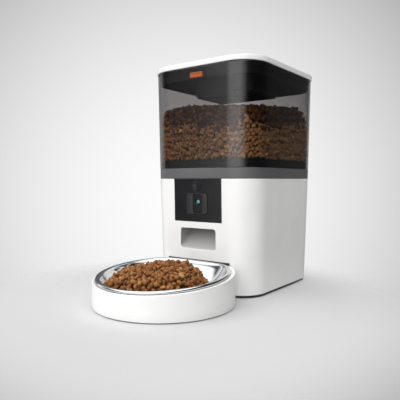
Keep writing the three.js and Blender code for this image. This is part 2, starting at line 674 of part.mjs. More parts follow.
const TRAY_FEET = [[0, -248], [-60, -140], [60, -140]];
const TRAY_FOOT = { radius: 5.5, height: 2.3, boss: 7.5 };
const TRAY_BASE = { bottom: 1.4, top: 3 }; // closes the hollow under the tray
const TRAY_HOLLOW_BACK = -105.4;

function bowlTray() {
  const seat = BOWL.radius + 0.8;
  const well = dTurned([[0, -29.5], [66, -29.5], [79, -22], [84, -8], [84, -2.4], [seat, -2.4],
    [seat, 30], [0, 30]]);
  const wellWall = dTurned([[0, -32], [67, -32], [81.2, -23], [86.3, -8], [86.3, 30], [0, 30]]);
  const above = tilted(block([-BIG, BIG], [-BIG, BIG], [TRAY.top, BIG]));
  const aboveHollow = tilted(block([-BIG, BIG], [-BIG, BIG], [TRAY.top - 4.2, BIG]));
  const drum = rod('z', TRAY.radius, [TRAY.bottom, 70], 0, TRAY.y, 64);
  const beyond = block([-BIG, BIG], [-101.5, BIG], [-10, 80]);
  const housing = bodyBlock(-4, 80, -0.4);
  const outside = cut(drum, above, beyond, housing);
  const hollow = cut(
    rod('z', TRAY.radius - TRAY.wall, [-5, 70], 0, TRAY.y, 64),
    aboveHollow, tilted(wellWall), block([-BIG, BIG], [TRAY_HOLLOW_BACK, BIG], [-10, 80]));
  const bosses = TRAY_FEET.map(([x, y]) => cut(
    rod('z', TRAY_FOOT.boss, [TRAY.bottom, 30], x, y, 16),
    tilted(block([-BIG, BIG], [-BIG, BIG], [-31, BIG]))));
  const sockets = TRAY_FEET.map(([x, y]) => rod(
    'z', TRAY_FOOT.radius + GAP, [0, TRAY_FOOT.height + GAP], x, y, 16));
  const hooks = SIDES.map(([, way]) => {
    const ends = [way * HOOK.inner, way * HOOK.outer].sort((a, b) => a - b);
    return block(ends, [-104.6, -95], [HOOK.bottom, HOOK.top]);
  });
  return cut(join(cut(outside, hollow, tilted(well)), ...bosses, ...hooks), ...sockets);
}

// A thin plate inside the tray's wall, with a hole round each foot's boss.
function trayBase() {
  const disc = rod(
    'z', TRAY.radius - TRAY.wall - GAP, [TRAY_BASE.bottom, TRAY_BASE.top], 0, TRAY.y, 64);
  const beyond = block([-BIG, BIG], [TRAY_HOLLOW_BACK - GAP, BIG], [-10, 80]);
  const holes = TRAY_FEET.map(([x, y]) => rod(
    'z', TRAY_FOOT.boss + GAP, [0, TRAY_BASE.top + 1], x, y, 24));
  return cut(disc, beyond, ...holes);
}

function steelBowl() {
  const { radius, depth } = BOWL;
  const rim = radius - 0.2;
  return tilted(dTurned([
    [0, -depth], [60, -depth], [70, -depth + 2.6], [77.4, -18], [81.2, -9], [82.2, -1.2],
    [rim - 1.2, -1.2], [rim - 1.2, -2], [rim, -2], [radius, -0.4], [rim - 0.8, 0.9], [84.2, 0.9],
    [81.2, -0.6], [80.1, -9], [76.4, -17.4], [69.4, -depth + 3.6], [60, -depth + 1.1],
    [0, -depth + 1.1],
  ]));
}

place('bowl_tray', bowlTray(), WHITE);
place('tray_base', trayBase(), BLACK);
TRAY_FEET.forEach(([x, y], n) => place(
  `tray_foot_${n + 1}`, rod('z', TRAY_FOOT.radius, [0, TRAY_FOOT.height], x, y, 16), RUBBER));
place('steel_bowl', steelBowl(), STEEL);

export default feeder;
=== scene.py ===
import json
import math

import bmesh
import bpy
import numpy as np
from bpy.props import FloatProperty, FloatVectorProperty, IntProperty
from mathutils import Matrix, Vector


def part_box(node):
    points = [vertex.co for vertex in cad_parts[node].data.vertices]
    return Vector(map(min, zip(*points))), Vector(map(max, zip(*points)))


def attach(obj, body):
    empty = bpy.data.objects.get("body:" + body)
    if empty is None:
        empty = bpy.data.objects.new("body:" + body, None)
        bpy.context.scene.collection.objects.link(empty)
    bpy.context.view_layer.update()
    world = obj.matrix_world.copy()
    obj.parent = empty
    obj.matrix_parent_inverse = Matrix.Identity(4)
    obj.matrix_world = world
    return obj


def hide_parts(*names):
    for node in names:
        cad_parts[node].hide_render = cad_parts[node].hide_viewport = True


bl_info = {
    "name": "Automatic Pet Feeder",
    "version": (1, 0, 0),
    "blender": (4, 5, 0),
    "location": "View3D > Sidebar > Feeder",
    "description": "Builds the visible surfaces of an automatic pet feeder around its packed frame",
    "category": "Add Mesh",
}

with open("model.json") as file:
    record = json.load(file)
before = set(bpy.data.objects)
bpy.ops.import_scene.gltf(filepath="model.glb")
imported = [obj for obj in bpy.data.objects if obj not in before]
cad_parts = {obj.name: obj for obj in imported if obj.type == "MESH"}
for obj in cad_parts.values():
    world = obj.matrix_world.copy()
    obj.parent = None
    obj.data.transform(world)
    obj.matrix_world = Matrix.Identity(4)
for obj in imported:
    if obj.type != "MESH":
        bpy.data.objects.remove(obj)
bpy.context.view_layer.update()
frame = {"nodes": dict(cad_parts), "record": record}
MM = 0.001


# ---------------------------------------------------------------- places read from the frame

def box(node):
    """The lowest and highest corner of a node, as arrays in metres."""
    low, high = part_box(node)
    return np.array(low), np.array(high)


def middle(node):
    low, high = box(node)
    return (low + high) / 2


def half_size(node):
    low, high = box(node)
    return (high - low) / 2


HOUSING_LOW, HOUSING_HIGH = box("base_housing")
COLLAR_LOW, COLLAR_HIGH = box("hopper_collar")
TANK_LOW, TANK_HIGH = box("hopper_tank")
LID_LOW, LID_HIGH = box("lid_cover")
LINER_LOW, LINER_HIGH = box("lid_liner")
BODY_Y = middle("base_housing")[1]
PLATE_INSET = 1 * MM  # of the bottom plate, inside the housing's outline
CORNER = 40 * MM  # the body outline's corner radius

# The body's half width and half depth at three heights, from the pieces that end there.
LEVELS = np.array([box("bottom_plate")[1][2], HOUSING_HIGH[2], TANK_HIGH[2]])
HALF_WIDTHS, HALF_DEPTHS, _ = np.transpose([
    half_size("bottom_plate") + PLATE_INSET, half_size("base_housing"), half_size("hopper_tank")])


def body_half(z):
    """Half the body's width and depth at height z: straight lines between the known levels."""
    z = np.asarray(z, float)
    return np.interp(z, LEVELS, HALF_WIDTHS), np.interp(z, LEVELS, HALF_DEPTHS)


def front_wall(z):
    return BODY_Y - body_half(z)[1]


def rear_wall(z):
    return BODY_Y + body_half(z)[1]


# How far the housing's front wall leans out for each metre of height.
LEAN = float((HALF_DEPTHS[1] - HALF_DEPTHS[0]) / (LEVELS[1] - LEVELS[0]))
LEAN_ANGLE = math.atan(LEAN)
ACROSS, BACKWARDS, UP = np.eye(3)
UP_PANEL = np.array([0.0, -math.sin(LEAN_ANGLE), math.cos(LEAN_ANGLE)])
OUT_PANEL = np.array([0.0, -math.cos(LEAN_ANGLE), -math.sin(LEAN_ANGLE)])


# ---------------------------------------------------------------- sizes that a user may change

def length(name, text, value):
    """A length that the user may change, given in millimetres."""
    return FloatProperty(name=name, description=text, default=value * MM, unit="LENGTH")


class FeederSizes(bpy.types.PropertyGroup):
    housing_wall: length("Housing wall", "Thickness of the base housing's wall", 2.6)
    hopper_wall: length("Hopper wall", "Thickness of the smoked hopper's wall", 2.5)
    wall_cell: length("Wall cell", "Spacing of the housing wall's mesh lines", 1.6)
    soft_edge: length("Soft edge", "Radius of a moulded edge", 0.8)
    lid_edge: length("Lid edge", "Radius of the lid's upper edge", 2.4)
    lid_crown: length("Lid crown", "Drop of the lid's top from its middle to its edge", 0.9)
    panel_chamfer: length("Panel chamfer", "Width of the chamfer round the camera panel", 1.0)
    tray_edge: length("Tray edge", "Radius of the tray's upper outer edge", 1.2)
    bowl_depth: length("Bowl depth", "Depth of the steel bowl below its rim", 26)


class FeederKibble(bpy.types.PropertyGroup):
    diameter: length("Kibble size", "Mean diameter of one piece of kibble", 6.7)
    seed: IntProperty(
        name="Seed", description="Seed for the places and turns of the kibble", default=7)
    wall_level: length("Level at the wall", "Height of the kibble where it meets the hopper", 224)
    crown: length("Crown", "Rise of the hopper's heap from its edge to its middle", 36)
    bowl_heap: length("Bowl heap", "Height of the bowl's heap above its rim", 6.5)


class FeederStudio(bpy.types.PropertyGroup):
    cards: FloatProperty(
        name="Cards", description="Strength of the white cards round the set", default=1.0)
    ceiling: FloatProperty(
        name="Ceiling", description="Strength of the soft light overhead", default=1.75)
    lower: FloatProperty(
        name="Lower", description="Strength of the light from the floor further out", default=0.7)
    floor_colour: FloatVectorProperty(
        name="Floor colour", description="Linear colour of the floor", subtype="COLOR",
        size=3, default=(0.68, 0.68, 0.68), min=0.0, max=1.0)
    floor_reach: length("Floor reach", "Where the floor has faded into the backdrop", 380)


# ---------------------------------------------------------------- surfaces on a grid

def columns_round(flat_x, flat_y, corner):
    """Columns round a rounded rectangle, counter-clockwise from the left end of its front side.
    A column is a share (fx, fy) of the straight part and a direction (dx, dy) out of it: the
    share runs from -1 to 1 along a side while the direction stays, and the direction turns a
    quarter at a corner while the share stays."""
    corners = ((-1, -1), (1, -1), (1, 1), (-1, 1))
    parts = []
    for n, flat in enumerate((flat_x, flat_y, flat_x, flat_y)):
        start, stop, angle = corners[n], corners[(n + 1) % 4], 90 * n - 90
        parts += [
            np.column_stack([np.linspace(start, stop, flat, endpoint=False),
                             np.full(flat, angle)]),
            np.column_stack([np.tile(stop, (corner, 1)),
                             np.linspace(angle, angle + 90, corner, endpoint=False)])]
    fx, fy, angle = np.concatenate(parts).T
    return fx, fy, np.cos(np.radians(angle)), np.sin(np.radians(angle))


WIDE = columns_round(57, 14, 18)  # for the body: long sides and large corners
SMALL = columns_round(6, 6, 8)  # for small plates
ROUND = columns_round(1, 1, 15)  # for turned pieces


def rings(columns, half_x, half_y, radius, height, centre=(0.0, 0.0)):
    """Rounded rectangles, a row each: centre + share * (half size - radius) + direction * radius.
    Where both half sizes equal the radius, a row is a circle."""
    fx, fy, dx, dy = columns
    half_x, half_y, radius, height, cx, cy = (
        a[:, None] for a in np.broadcast_arrays(
            np.atleast_1d(np.asarray(half_x, float)), half_y, radius, height, *centre))
    x = cx + fx * (half_x - radius) + dx * radius
    y = cy + fy * (half_y - radius) + dy * radius
    return np.stack([x, y, np.broadcast_to(height, x.shape)], axis=-1)


def turned(profile, centre=(0.0, 0.0)):
    """A profile of radius and height, turned about an upright axis."""
    radius, height = np.asarray(profile).T
    return rings(ROUND, radius, radius, radius, height, centre)


def body_rings(inset, z, columns=WIDE):
    """The body's outline at each height z, drawn in by inset, with its corner drawn in as well."""
    inset, z = np.broadcast_arrays(np.asarray(inset, float), z)
    half_x, half_y = body_half(z)
    return rings(columns, half_x - inset, half_y - inset, np.maximum(CORNER - inset, 0), z,
                 (0.0, BODY_Y))


def eased(profile, radii, closed=False, steps=4):
    """A profile with each corner replaced by a curve: a corner's point pulls a quadratic curve
    from one cut to the next, and each cut lies a radius from the corner, or 45% of the way to
    its neighbour where that is shorter."""
    profile = np.asarray(profile, float)
    radii = np.broadcast_to(np.asarray(radii, float), len(profile))
    t = np.linspace(0, 1, steps + 1)[:, None]
    pieces = []
    for n, corner in enumerate(profile):
        if radii[n] <= 0 or (not closed and n in (0, len(profile) - 1)):
            pieces.append(corner[None])
            continue
        cuts = []
        for other in (profile[n - 1], profile[(n + 1) % len(profile)]):
            way = other - corner
            length = np.linalg.norm(way)
            cuts.append(corner + way / length * min(radii[n], 0.45 * length))
        pieces.append((1 - t) ** 2 * cuts[0] + 2 * t * (1 - t) * corner + t ** 2 * cuts[1])
    return np.concatenate(pieces)


def grid_faces(rows, cols, closed_rows=False, closed_cols=True):
    """The four-sided faces between neighbouring rows and columns of a grid."""
    r = np.arange(rows if closed_rows else rows - 1)[:, None]
    c = np.arange(cols if closed_cols else cols - 1)[None, :]
    r2, c2 = (r + 1) % rows, (c + 1) % cols
    return np.stack([r * cols + c, r * cols + c2, r2 * cols + c2, r2 * cols + c],
                    axis=-1).reshape(-1, 4)


def lie_in(points, origin, across, up, out):
    """Moves grid points (x, y, height) into a plane: x runs across, y up and height out of it."""
    return (np.asarray(origin) + points[..., :1] * across + points[..., 1:2] * up
            + points[..., 2:] * out)


def on_panel(points, height):
    """Lays flat points on the leaning front wall, about its middle line at the given height."""
    origin = (0.0, float(front_wall(height)), height)
    return lie_in(points, origin, ACROSS, UP_PANEL, OUT_PANEL)


# ---------------------------------------------------------------- pieces

WELD = 1e-6  # metres
BEVEL_FROM = 50  # degrees: a sharper edge than this is softened


def placed(name, mesh, material):
    """A new object of the scene with its mesh and material."""
    mesh.materials.append(material)
    thing = bpy.data.objects.new(name, mesh)
    bpy.context.scene.collection.objects.link(thing)
    return thing


def piece(name, points, faces, body, slot, replaced=(), finish=None, wall=0.0, bevel=0.0,
          smooth=38.0, outward=True):
    """Makes a mesh piece: welds seams and poles, gives a wall its thickness and its edges a
    bevel, and lets it ride on its body. Its finish is its slot's unless another is named."""
    mesh = bpy.data.meshes.new(name)
    mesh.from_pydata(points.reshape(-1, 3).tolist(), [], faces.tolist())
    work = bmesh.new()
    work.from_mesh(mesh)
    loose = [v for v in work.verts if not v.link_faces]
    bmesh.ops.delete(work, geom=loose, context="VERTS")
    bmesh.ops.remove_doubles(work, verts=work.verts, dist=WELD)
    bmesh.ops.dissolve_degenerate(work, edges=work.edges, dist=1e-7)
    if not outward:
        bmesh.ops.reverse_faces(work, faces=work.faces)
    work.to_mesh(mesh)
    work.free()
    thing = placed(name, mesh, finish_for(finish or slot))
    if wall:
        solidify = thing.modifiers.new("Wall", "SOLIDIFY")
        solidify.thickness = wall
        solidify.offset = -1.0
        solidify.use_even_offset = True
    if bevel:
        edges = thing.modifiers.new("Soft edges", "BEVEL")
        edges.width = bevel
        edges.segments = 2
        edges.limit_method = "ANGLE"
        edges.angle_limit = math.radians(BEVEL_FROM)
    if wall or bevel:
        bpy.context.view_layer.update()
        done = thing.evaluated_get(bpy.context.evaluated_depsgraph_get())
        finished = bpy.data.meshes.new_from_object(done)
        thing.modifiers.clear()
        thing.data = finished
        bpy.data.meshes.remove(mesh)
        finished.name = name
    thing.data.shade_smooth()
    thing.data.set_sharp_from_angle(angle=math.radians(smooth))
    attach(thing, body)
    if replaced:
        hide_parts(*replaced)


def shell(name, points, body, slot, replaced=(), closed_rows=False, **options):
    """A piece whose grid closes round its columns, and round its rows too where they close."""
    faces = grid_faces(*points.shape[:2], closed_rows)
    piece(name, points, faces, body, slot, replaced, **options)


def capped(points):
    """A grid with a last row at the middle of its end rings, so that both ends are closed."""
    first = np.broadcast_to(points[0].mean(0), points[0].shape)
    last = np.broadcast_to(points[-1].mean(0), points[-1].shape)
    return np.concatenate([first[None], points, last[None]])


EDGE_BAND = 1.3  # how near an opening's edge a point has to be to move onto it, in mesh cells


def opened(points, openings, cell, flat=None, closed_cols=True):
    """A grid's points and faces. Leaves out the faces inside each opening and moves the points
    along its edge onto it. flat holds each point's place across and up its wall: x and z where
    nothing else is given. An opening is a rounded rectangle: the
    distance to it is that of the point's offset beyond the corner centres, less the corner
    radius, and points close to zero distance move along its gradient."""
    faces = grid_faces(*points.shape[:2], closed_cols=closed_cols)
    flat = (points[..., ::2] if flat is None else flat).reshape(-1, 2)
    points = points.reshape(-1, 3).copy()
    keep = np.ones(len(faces), bool)
    for (across, up, half_across, half_up, radius), (chosen, slope) in openings:
        offset = flat - (across, up)
        q = np.abs(offset) - (half_across - radius, half_up - radius)
        beyond = np.maximum(q, 0)
        reach = np.linalg.norm(beyond, axis=1)
        distance = reach + np.minimum(q.max(axis=1), 0) - radius
        steepest = np.where(q[:, :1] > q[:, 1:], [[1.0, 0.0]], [[0.0, 1.0]])
        slant = beyond / np.maximum(reach, 1e-9)[:, None]
        gradient = np.where(reach[:, None] > 0, slant, steepest) * np.sign(offset + 1e-12)
        chosen = chosen.reshape(-1)
        inside = (distance[faces].mean(axis=1) < 0) & chosen[faces].all(axis=1)
        keep &= ~inside
        on_edge = np.zeros(len(points), bool)
        on_edge[faces[inside].ravel()] = True
        kept = np.zeros(len(points), bool)
        kept[faces[keep].ravel()] = True
        on_edge &= kept & (np.abs(distance) < EDGE_BAND * cell)
        move = -distance[on_edge, None] * gradient[on_edge]
        points[on_edge, 0] += move[:, 0]
        points[on_edge, 2] += move[:, 1]
        points[on_edge, 1] += slope * move[:, 1]
    return points, faces[keep]


# ---------------------------------------------------------------- materials

def srgb(code):
    """An sRGB hex code as linear RGBA. Any other value is passed on as it is."""
    if not isinstance(code, str):
        return code
    values = [int(code[i:i + 2], 16) / 255 for i in (1, 3, 5)]
    linear = [v / 12.92 if v <= 0.04045 else ((v + 0.055) / 1.055) ** 2.4 for v in values]
    return (*linear, 1.0)


USUAL = (0.3, 0.7)  # the range that most of a noise pattern's values lie in


class Finish:
    """The nodes of a new material or world; add() puts one shader node in."""

    def __init__(self, holder, place="Object"):
        holder.use_nodes = True
        self.tree = holder.node_tree
        self.tree.nodes.clear()
        self.place = self.add("TexCoord", out=place)

    def add(self, kind, inputs=(), out=0, stops=(), **settings):
        """Adds a shader node with its settings, values and links, and returns one output of it.
        Inputs go by name, or by their order in a list. A first input that takes a vector is
        linked to the coordinates unless it is given. Stops fill a colour ramp."""
        node = self.tree.nodes.new("ShaderNode" + kind)
        for key, value in settings.items():
            setattr(node, key, value)
        inputs = dict(inputs if isinstance(inputs, dict) else enumerate(inputs))
        if node.inputs and node.inputs[0].name == "Vector" and "Vector" not in inputs:
            inputs[0] = self.place
        for key, value in inputs.items():
            if isinstance(value, bpy.types.NodeSocket):
                self.tree.links.new(value, node.inputs[key])
            else:
                node.inputs[key].default_value = srgb(value)
        if stops:
            ramp = node.color_ramp.elements
            for element, (position, colour) in zip(ramp, (stops[0], stops[-1])):
                element.position, element.color = position, srgb(colour)
            for position, colour in stops[1:-1]:
                ramp.new(position).color = srgb(colour)
        return node.outputs[out] if node.outputs else None

    def close(self, share, colours, worn, rough, bump, others, usual=USUAL):
        """Ends a material: a share goes from one colour to the other, and a wear pattern, over
        its usual range, from one roughness to the other. bump is a pattern of heights with its
        strength and its height in metres, and others holds the shader's constants."""
        height, strength, distance = bump
        shader = self.add("BsdfPrincipled", {
            "Base Color": self.add("ValToRGB", [share], stops=tuple(enumerate(colours))),
            "Roughness": self.add("MapRange", [worn, *usual, *rough]),
            "Normal": self.add("Bump", {
                "Height": height, "Strength": strength, "Distance": distance}), **others})
        self.add("OutputMaterial", [shader])


def moulded(finish, dark, light, rough, grain, depth, ior=1.53):
    """Moulded plastic: a spark-eroded grain in the mould gives a fine pebble, and handling leaves
    it a little smoother and darker in broad patches. grain is the pebble's size and depth its
    height."""
    add = finish.add
    patches = add("TexNoise", {"Scale": 1 / (38 * MM), "Detail": 3.0})
    fine = add("TexNoise", {"Scale": 1 / (2.2 * MM), "Detail": 4.0, "Roughness": 0.6})
    worn = add("Math", [add("Math", [patches, fine]), 0.5], operation="MULTIPLY")
    pebble = add("TexNoise", {"Scale": 1 / grain})
    finish.close(add("MapRange", [patches, *USUAL]), (dark, light), worn, rough,
                 (pebble, depth, 0.1 * MM), {"IOR": ior})


def gloss_black(finish):
    """Black acrylic, polished: nearly a mirror, with wiped-in hairline scratches and dust."""
    add = finish.add
    wipes = add("Mapping", {"Rotation": (0.0, math.radians(28), 0.0), "Scale": (1.0, 1.0, 0.06)})
    hairlines = add("TexNoise", {
        "Vector": wipes, "Scale": 1 / (1.1 * MM), "Detail": 3.0, "Roughness": 0.6})
    smears = add("TexNoise", {"Scale": 1 / (26 * MM)})
    worn = add("Math", [hairlines, smears], operation="MULTIPLY")
    finish.close(add("MapRange", [smears, *USUAL]), ("#131416", "#191a1c"), worn, (0.07, 0.2),
                 (hairlines, 0.03, 0.05 * MM), {"IOR": 1.49}, usual=(0.1, 0.45))


def smoked(finish):
    """Smoked see-through styrene, polished: each face takes about a quarter of the light that
    passes, and more along the wall. The face mirrors the room by Schlick's share, 0.045 plus
    0.955 times the fifth power of one minus the cosine, which is the same from both sides."""
    add = finish.add
    streaks = add("Mapping", {"Scale": (1.0, 1.0, 0.15)})
    flow = add("TexNoise", {"Vector": streaks, "Scale": 1 / (30 * MM)})
    dust = add("TexNoise", {"Scale": 1 / (9 * MM), "Detail": 4.0, "Roughness": 0.7})
    facing = add("LayerWeight", {"Blend": 0.5}, out="Facing")
    tint = add("ValToRGB", [facing], stops=((0, "#e3e1e1"), (0.55, "#d4d2d2"), (1, "#8c8b8b")))
    mirror = add("BsdfGlossy", {
        "Color": "#fbfbfb", "Roughness": add("MapRange", [dust, *USUAL, 0.03, 0.08]),
        "Normal": add("Bump", {"Height": flow, "Strength": 0.02, "Distance": 0.4 * MM})})
    steep = add("Math", [facing, 5.0], operation="POWER")
    share = add("Math", [steep, 0.955, 0.045], operation="MULTIPLY_ADD")
    add("OutputMaterial", [add("MixShader", [share, add("BsdfTransparent", [tint]), mirror])])


def lens_glass(finish):
    """A small coated lens under a hard shine. Its colour is a painted glint: teal where it faces
    the view, dark blue-green where it turns away.
    """
    add = finish.add
    rim = add("LayerWeight", {"Blend": 0.4}, out="Facing")
    bloom = add("TexNoise", {"Scale": 1 / (1.6 * MM)})
    # Painted glint: the colour is brightest teal where the lens faces the view.
    finish.close(add("Math", [rim, bloom], operation="MULTIPLY"), ("#1c7f86", "#0a2d33"),
                 bloom, (0.02, 0.06), (bloom, 0.02, 0.05 * MM),
                 {"IOR": 1.6, "Coat Weight": 1.0, "Coat Roughness": 0.02, "Coat IOR": 1.9})


def mirror_steel(finish):
    """Pressed stainless steel, mop-polished: a mirror with faint arcs left by the wheel."""
    add = finish.add
    arcs = add("Mapping", {"Scale": (1.0, 0.12, 1.0)})
    lines = add("TexNoise", {
        "Vector": arcs, "Scale": 1 / (1.4 * MM), "Detail": 3.0, "Roughness": 0.6})
    marks = add("TexNoise", {"Scale": 1 / (22 * MM), "Detail": 3.0})
    finish.close(add("MapRange", [marks, *USUAL]), ("#d3d5d7", "#dcdddf"), lines, (0.04, 0.11),
                 (lines, 0.02, 0.05 * MM), {"Metallic": 1.0})


def turned_steel(finish):
    """Plain turned and plated steel: fine tool lines, duller than the bowl. A wave
    repeats after 6.28, once round the circle."""
    add = finish.add
    lines = add("TexWave", {"Scale": 1 / (1.2 * MM) / 6.28, "Distortion": 1.5, "Detail": 2.0},
                out="Fac", bands_direction="X")
    stains = add("TexNoise", {"Scale": 1 / (6 * MM), "Detail": 4.0, "Roughness": 0.6})
    finish.close(add("MapRange", [stains, *USUAL]), ("#9b9da0", "#b9bbbd"), stains, (0.25, 0.4),
                 (lines, 0.08, 0.05 * MM), {"Metallic": 1.0})


def soft_rubber(finish):
    """Moulded rubber feet, and the dark strip that paints the shade in the gap behind the tray:
    matte and a little dusty.
    """
    add = finish.add
    dust = add("TexNoise", {"Scale": 1 / (3 * MM), "Detail": 5.0, "Roughness": 0.7})
    grain = add("TexNoise", {"Scale": 1 / (0.9 * MM), "Detail": 3.0})
    finish.close(add("MapRange", [dust, *USUAL]), ("#1c1d1e", "#2d2e2f"), dust, (0.68, 0.9),
                 (grain, 0.25, 0.1 * MM), {"IOR": 1.52})


def silicone(finish):
    """Moulded translucent silicone: milky, soft and faintly tacky-looking."""
    add = finish.add
    milk = add("TexNoise", {"Scale": 1 / (7 * MM), "Detail": 3.0})
    grain = add("TexNoise", {"Scale": 1 / (1.1 * MM)})
    finish.close(add("MapRange", [milk, *USUAL]), ("#d0cfc8", "#e2e1db"), milk, (0.45, 0.6),
                 (grain, 0.08, 0.1 * MM),
                 {"IOR": 1.43, "Subsurface Weight": 0.25,
                  "Subsurface Radius": (3 * MM, 3 * MM, 2.4 * MM)})


def circuit_laminate(finish):
    """Glass laminate under green solder mask: paler tracks show through it in steps."""
    add = finish.add
    cells = add("TexVoronoi", {"Scale": 1 / (4 * MM)}, distance="CHEBYCHEV")
    tracks = add("MapRange", [cells, 0.3, 0.36])
    stains = add("TexNoise", {"Scale": 1 / (5 * MM), "Detail": 3.0})
    finish.close(tracks, ("#1b5a38", "#2c7a4c"), stains, (0.28, 0.45),
                 (tracks, 0.2, 0.05 * MM), {"IOR": 1.55})


def bag_paper(finish):
    """Non-woven bag paper: short pressed fibres, lighter where they lie thick."""
    add = finish.add
    fibres = add("TexVoronoi", {"Scale": 1 / (1.6 * MM)})
    stains = add("TexNoise", {"Scale": 1 / (8 * MM), "Detail": 3.0})
    finish.close(fibres, ("#f1ede3", "#d8d2c2"), stains, (0.8, 0.95),
                 (fibres, 0.4, 0.15 * MM), {"IOR": 1.47, "Sheen Weight": 0.3})


def baked_kibble(finish):
    """Extruded and baked dry food: a golden-brown crust, pitted where bubbles broke, with a darker
    or paler bake from one piece to the next. In the hopper each piece's value also carries painted
    shade and painted light."""
    add = finish.add
    bake = add("Attribute", out="Fac", attribute_name="bake")
    crust = add("TexNoise", {"Scale": 1 / (3.2 * MM), "Detail": 4.0, "Roughness": 0.65})
    pits = add("TexVoronoi", {"Scale": 1 / (1.5 * MM)})
    share = add("Math", [add("Math", [bake, crust]), 0.5], operation="MULTIPLY")
    pitted = add("Bump", {"Height": pits, "Strength": 0.35, "Distance": 0.3 * MM})
    shader = add("BsdfPrincipled", {
        "Base Color": add("ValToRGB", [share], stops=(
            (0.22, "#5c341b"), (0.5, "#96602f"), (0.8, "#c49059"), (1, "#deb078"))),
        "Roughness": add("MapRange", [crust, *USUAL, 0.6, 0.85]), "IOR": 1.45,
        "Normal": add("Bump", {
            "Height": crust, "Strength": 0.4, "Distance": 0.5 * MM, "Normal": pitted})})
    add("OutputMaterial", [shader])


FLOOR_MIDDLE = (0.0, -80 * MM, 0.0)


def studio_floor(finish, colour, reach):
    """A painted studio floor with the faintest roller texture. Beyond the set it fades into the
    backdrop, by the distance from its middle."""
    add = finish.add
    roller = add("TexNoise", {"Scale": 1 / (12 * MM)})
    tone = add("MixRGB", {
        "Fac": add("MapRange", [roller, *USUAL, 0.0, 0.02]), "Color1": (*colour, 1.0),
        "Color2": "#d0d0d0"})
    paint = add("BsdfPrincipled", {
        "Base Color": tone, "Roughness": 0.75, "IOR": 1.4, "Specular IOR Level": 0.2,
        "Normal": add("Bump", {"Height": roller, "Strength": 0.01, "Distance": 0.1 * MM})})
    distance = add("VectorMath", {1: FLOOR_MIDDLE}, out="Value", operation="DISTANCE")
    faded = add("MapRange", [distance, 0.5 * reach, reach], interpolation_type="SMOOTHSTEP")
    add("OutputMaterial", [add("MixShader", [faded, paint, add("BsdfTransparent")])])


# For each finish its material's name, the function that fills it, and the values it is given.
MAKERS = {
    # ABS moulded against a polished mould: a bright, even white with a soft sheen.
    "white_abs": ("moulded white ABS", moulded, "#f5f5f4", "#fafaf9", (0.26, 0.36), 0.9 * MM, 0.05),
    # The chute's white ABS, painted a pale grey for the shade inside the deep duct.
    "chute": ("moulded pale grey ABS", moulded, "#a8a8a7", "#b4b4b3", (0.35, 0.5), 0.9 * MM, 0.05),
    # ABS moulded in mid grey with a light grain, which takes most of the shine off.
    "grey_abs": ("moulded grey ABS", moulded, "#5b5b5d", "#626264", (0.38, 0.5), 0.8 * MM, 0.12),
    # ABS moulded in black with a fine matte grain.
    "black_abs": ("grained black ABS", moulded, "#151618", "#1d1e20", (0.42, 0.58), 0.8 * MM, 0.2),
    # ABS moulded in orange, satin, so that the release button stands out.
    "orange_plastic": (
        "moulded orange ABS", moulded, "#9f4b05", "#ac5508", (0.2, 0.3), 0.8 * MM, 0.1),
    # Moulded acetal gears and bushes: waxy, off-white and slippery.
    "acetal": ("moulded acetal", moulded, "#e2ddcc", "#eeeadd", (0.3, 0.42), 0.7 * MM, 0.06, 1.48),
    # The shaded gaps between kibble: the same crust, much darker.
    "kibble_core": ("shaded kibble", moulded, "#2a190e", "#4a2c18", (0.8, 0.95), 3 * MM, 0.9),
    "kibble": ("baked kibble", baked_kibble),
    "black_gloss": ("polished black acrylic", gloss_black),
    "smoked_plastic": ("smoked styrene", smoked),
    "lens_glass": ("coated lens glass", lens_glass),
    "circuit_board": ("solder-masked laminate", circuit_laminate),
    "polished_steel": ("polished stainless steel", mirror_steel),
    "plain_steel": ("turned plated steel", turned_steel),
    "rubber": ("moulded black rubber", soft_rubber),
    "silicone": ("moulded silicone", silicone),
    "desiccant_paper": ("non-woven bag paper", bag_paper),
}
FINISHES = {}


def finish_for(label):
    """The material of a finish, made when it is first asked for."""
    if label not in FINISHES:
        name, fill, *values = MAKERS[label]
        FINISHES[label] = bpy.data.materials.new(name)
        fill(Finish(FINISHES[label]), *values)
    return FINISHES[label]


# ---------------------------------------------------------------- base housing

MOUTH_HALF = half_size("chute_liner")[0] - 2 * MM
MOUTH = (63.9 * MM, 93.6 * MM)  # the chute mouth's lower and upper edge
MOUTH_CORNER = 4 * MM
HOOK_MIDDLE = 31 * MM  # of a tray hook, from the middle plane
HOOK_LEVEL = 16 * MM
THROAT_HALF = (25.5 * MM, 23.5 * MM)
THROAT_Y = middle("rotor_shaft")[1]
NEAR_WALL = 90 * MM  # further from the middle than this, a point is on the front or rear wall
CLEARANCE = 0.4 * MM  # round the panel and the battery door


def wall_openings(front, rear):
    """The openings in the housing's walls, as rounded rectangles across and up the wall."""
    jack, (door_low, door_high) = middle("dc_jack"), box("battery_door")
    panel_low, panel_high = box("front_panel")
    openings = [
        ((0.0, sum(MOUTH) / 2, MOUTH_HALF, (MOUTH[1] - MOUTH[0]) / 2, MOUTH_CORNER), front),
        ((0.0, panel_low[2] - CLEARANCE + 0.1, panel_high[0] + CLEARANCE, 0.1, 0.2 * MM), front),
        ((jack[0], jack[2], 5 * MM, 5 * MM, 5 * MM), rear),
        ((0.0, (door_low[2] + door_high[2]) / 2, door_high[0] + CLEARANCE,
          (door_high[2] - door_low[2]) / 2 + CLEARANCE, 2 * MM), rear),
    ]
    return openings + [((way * HOOK_MIDDLE, HOOK_LEVEL, 9 * MM, 4 * MM, 0.6 * MM), front)
                       for way in (-1, 1)]


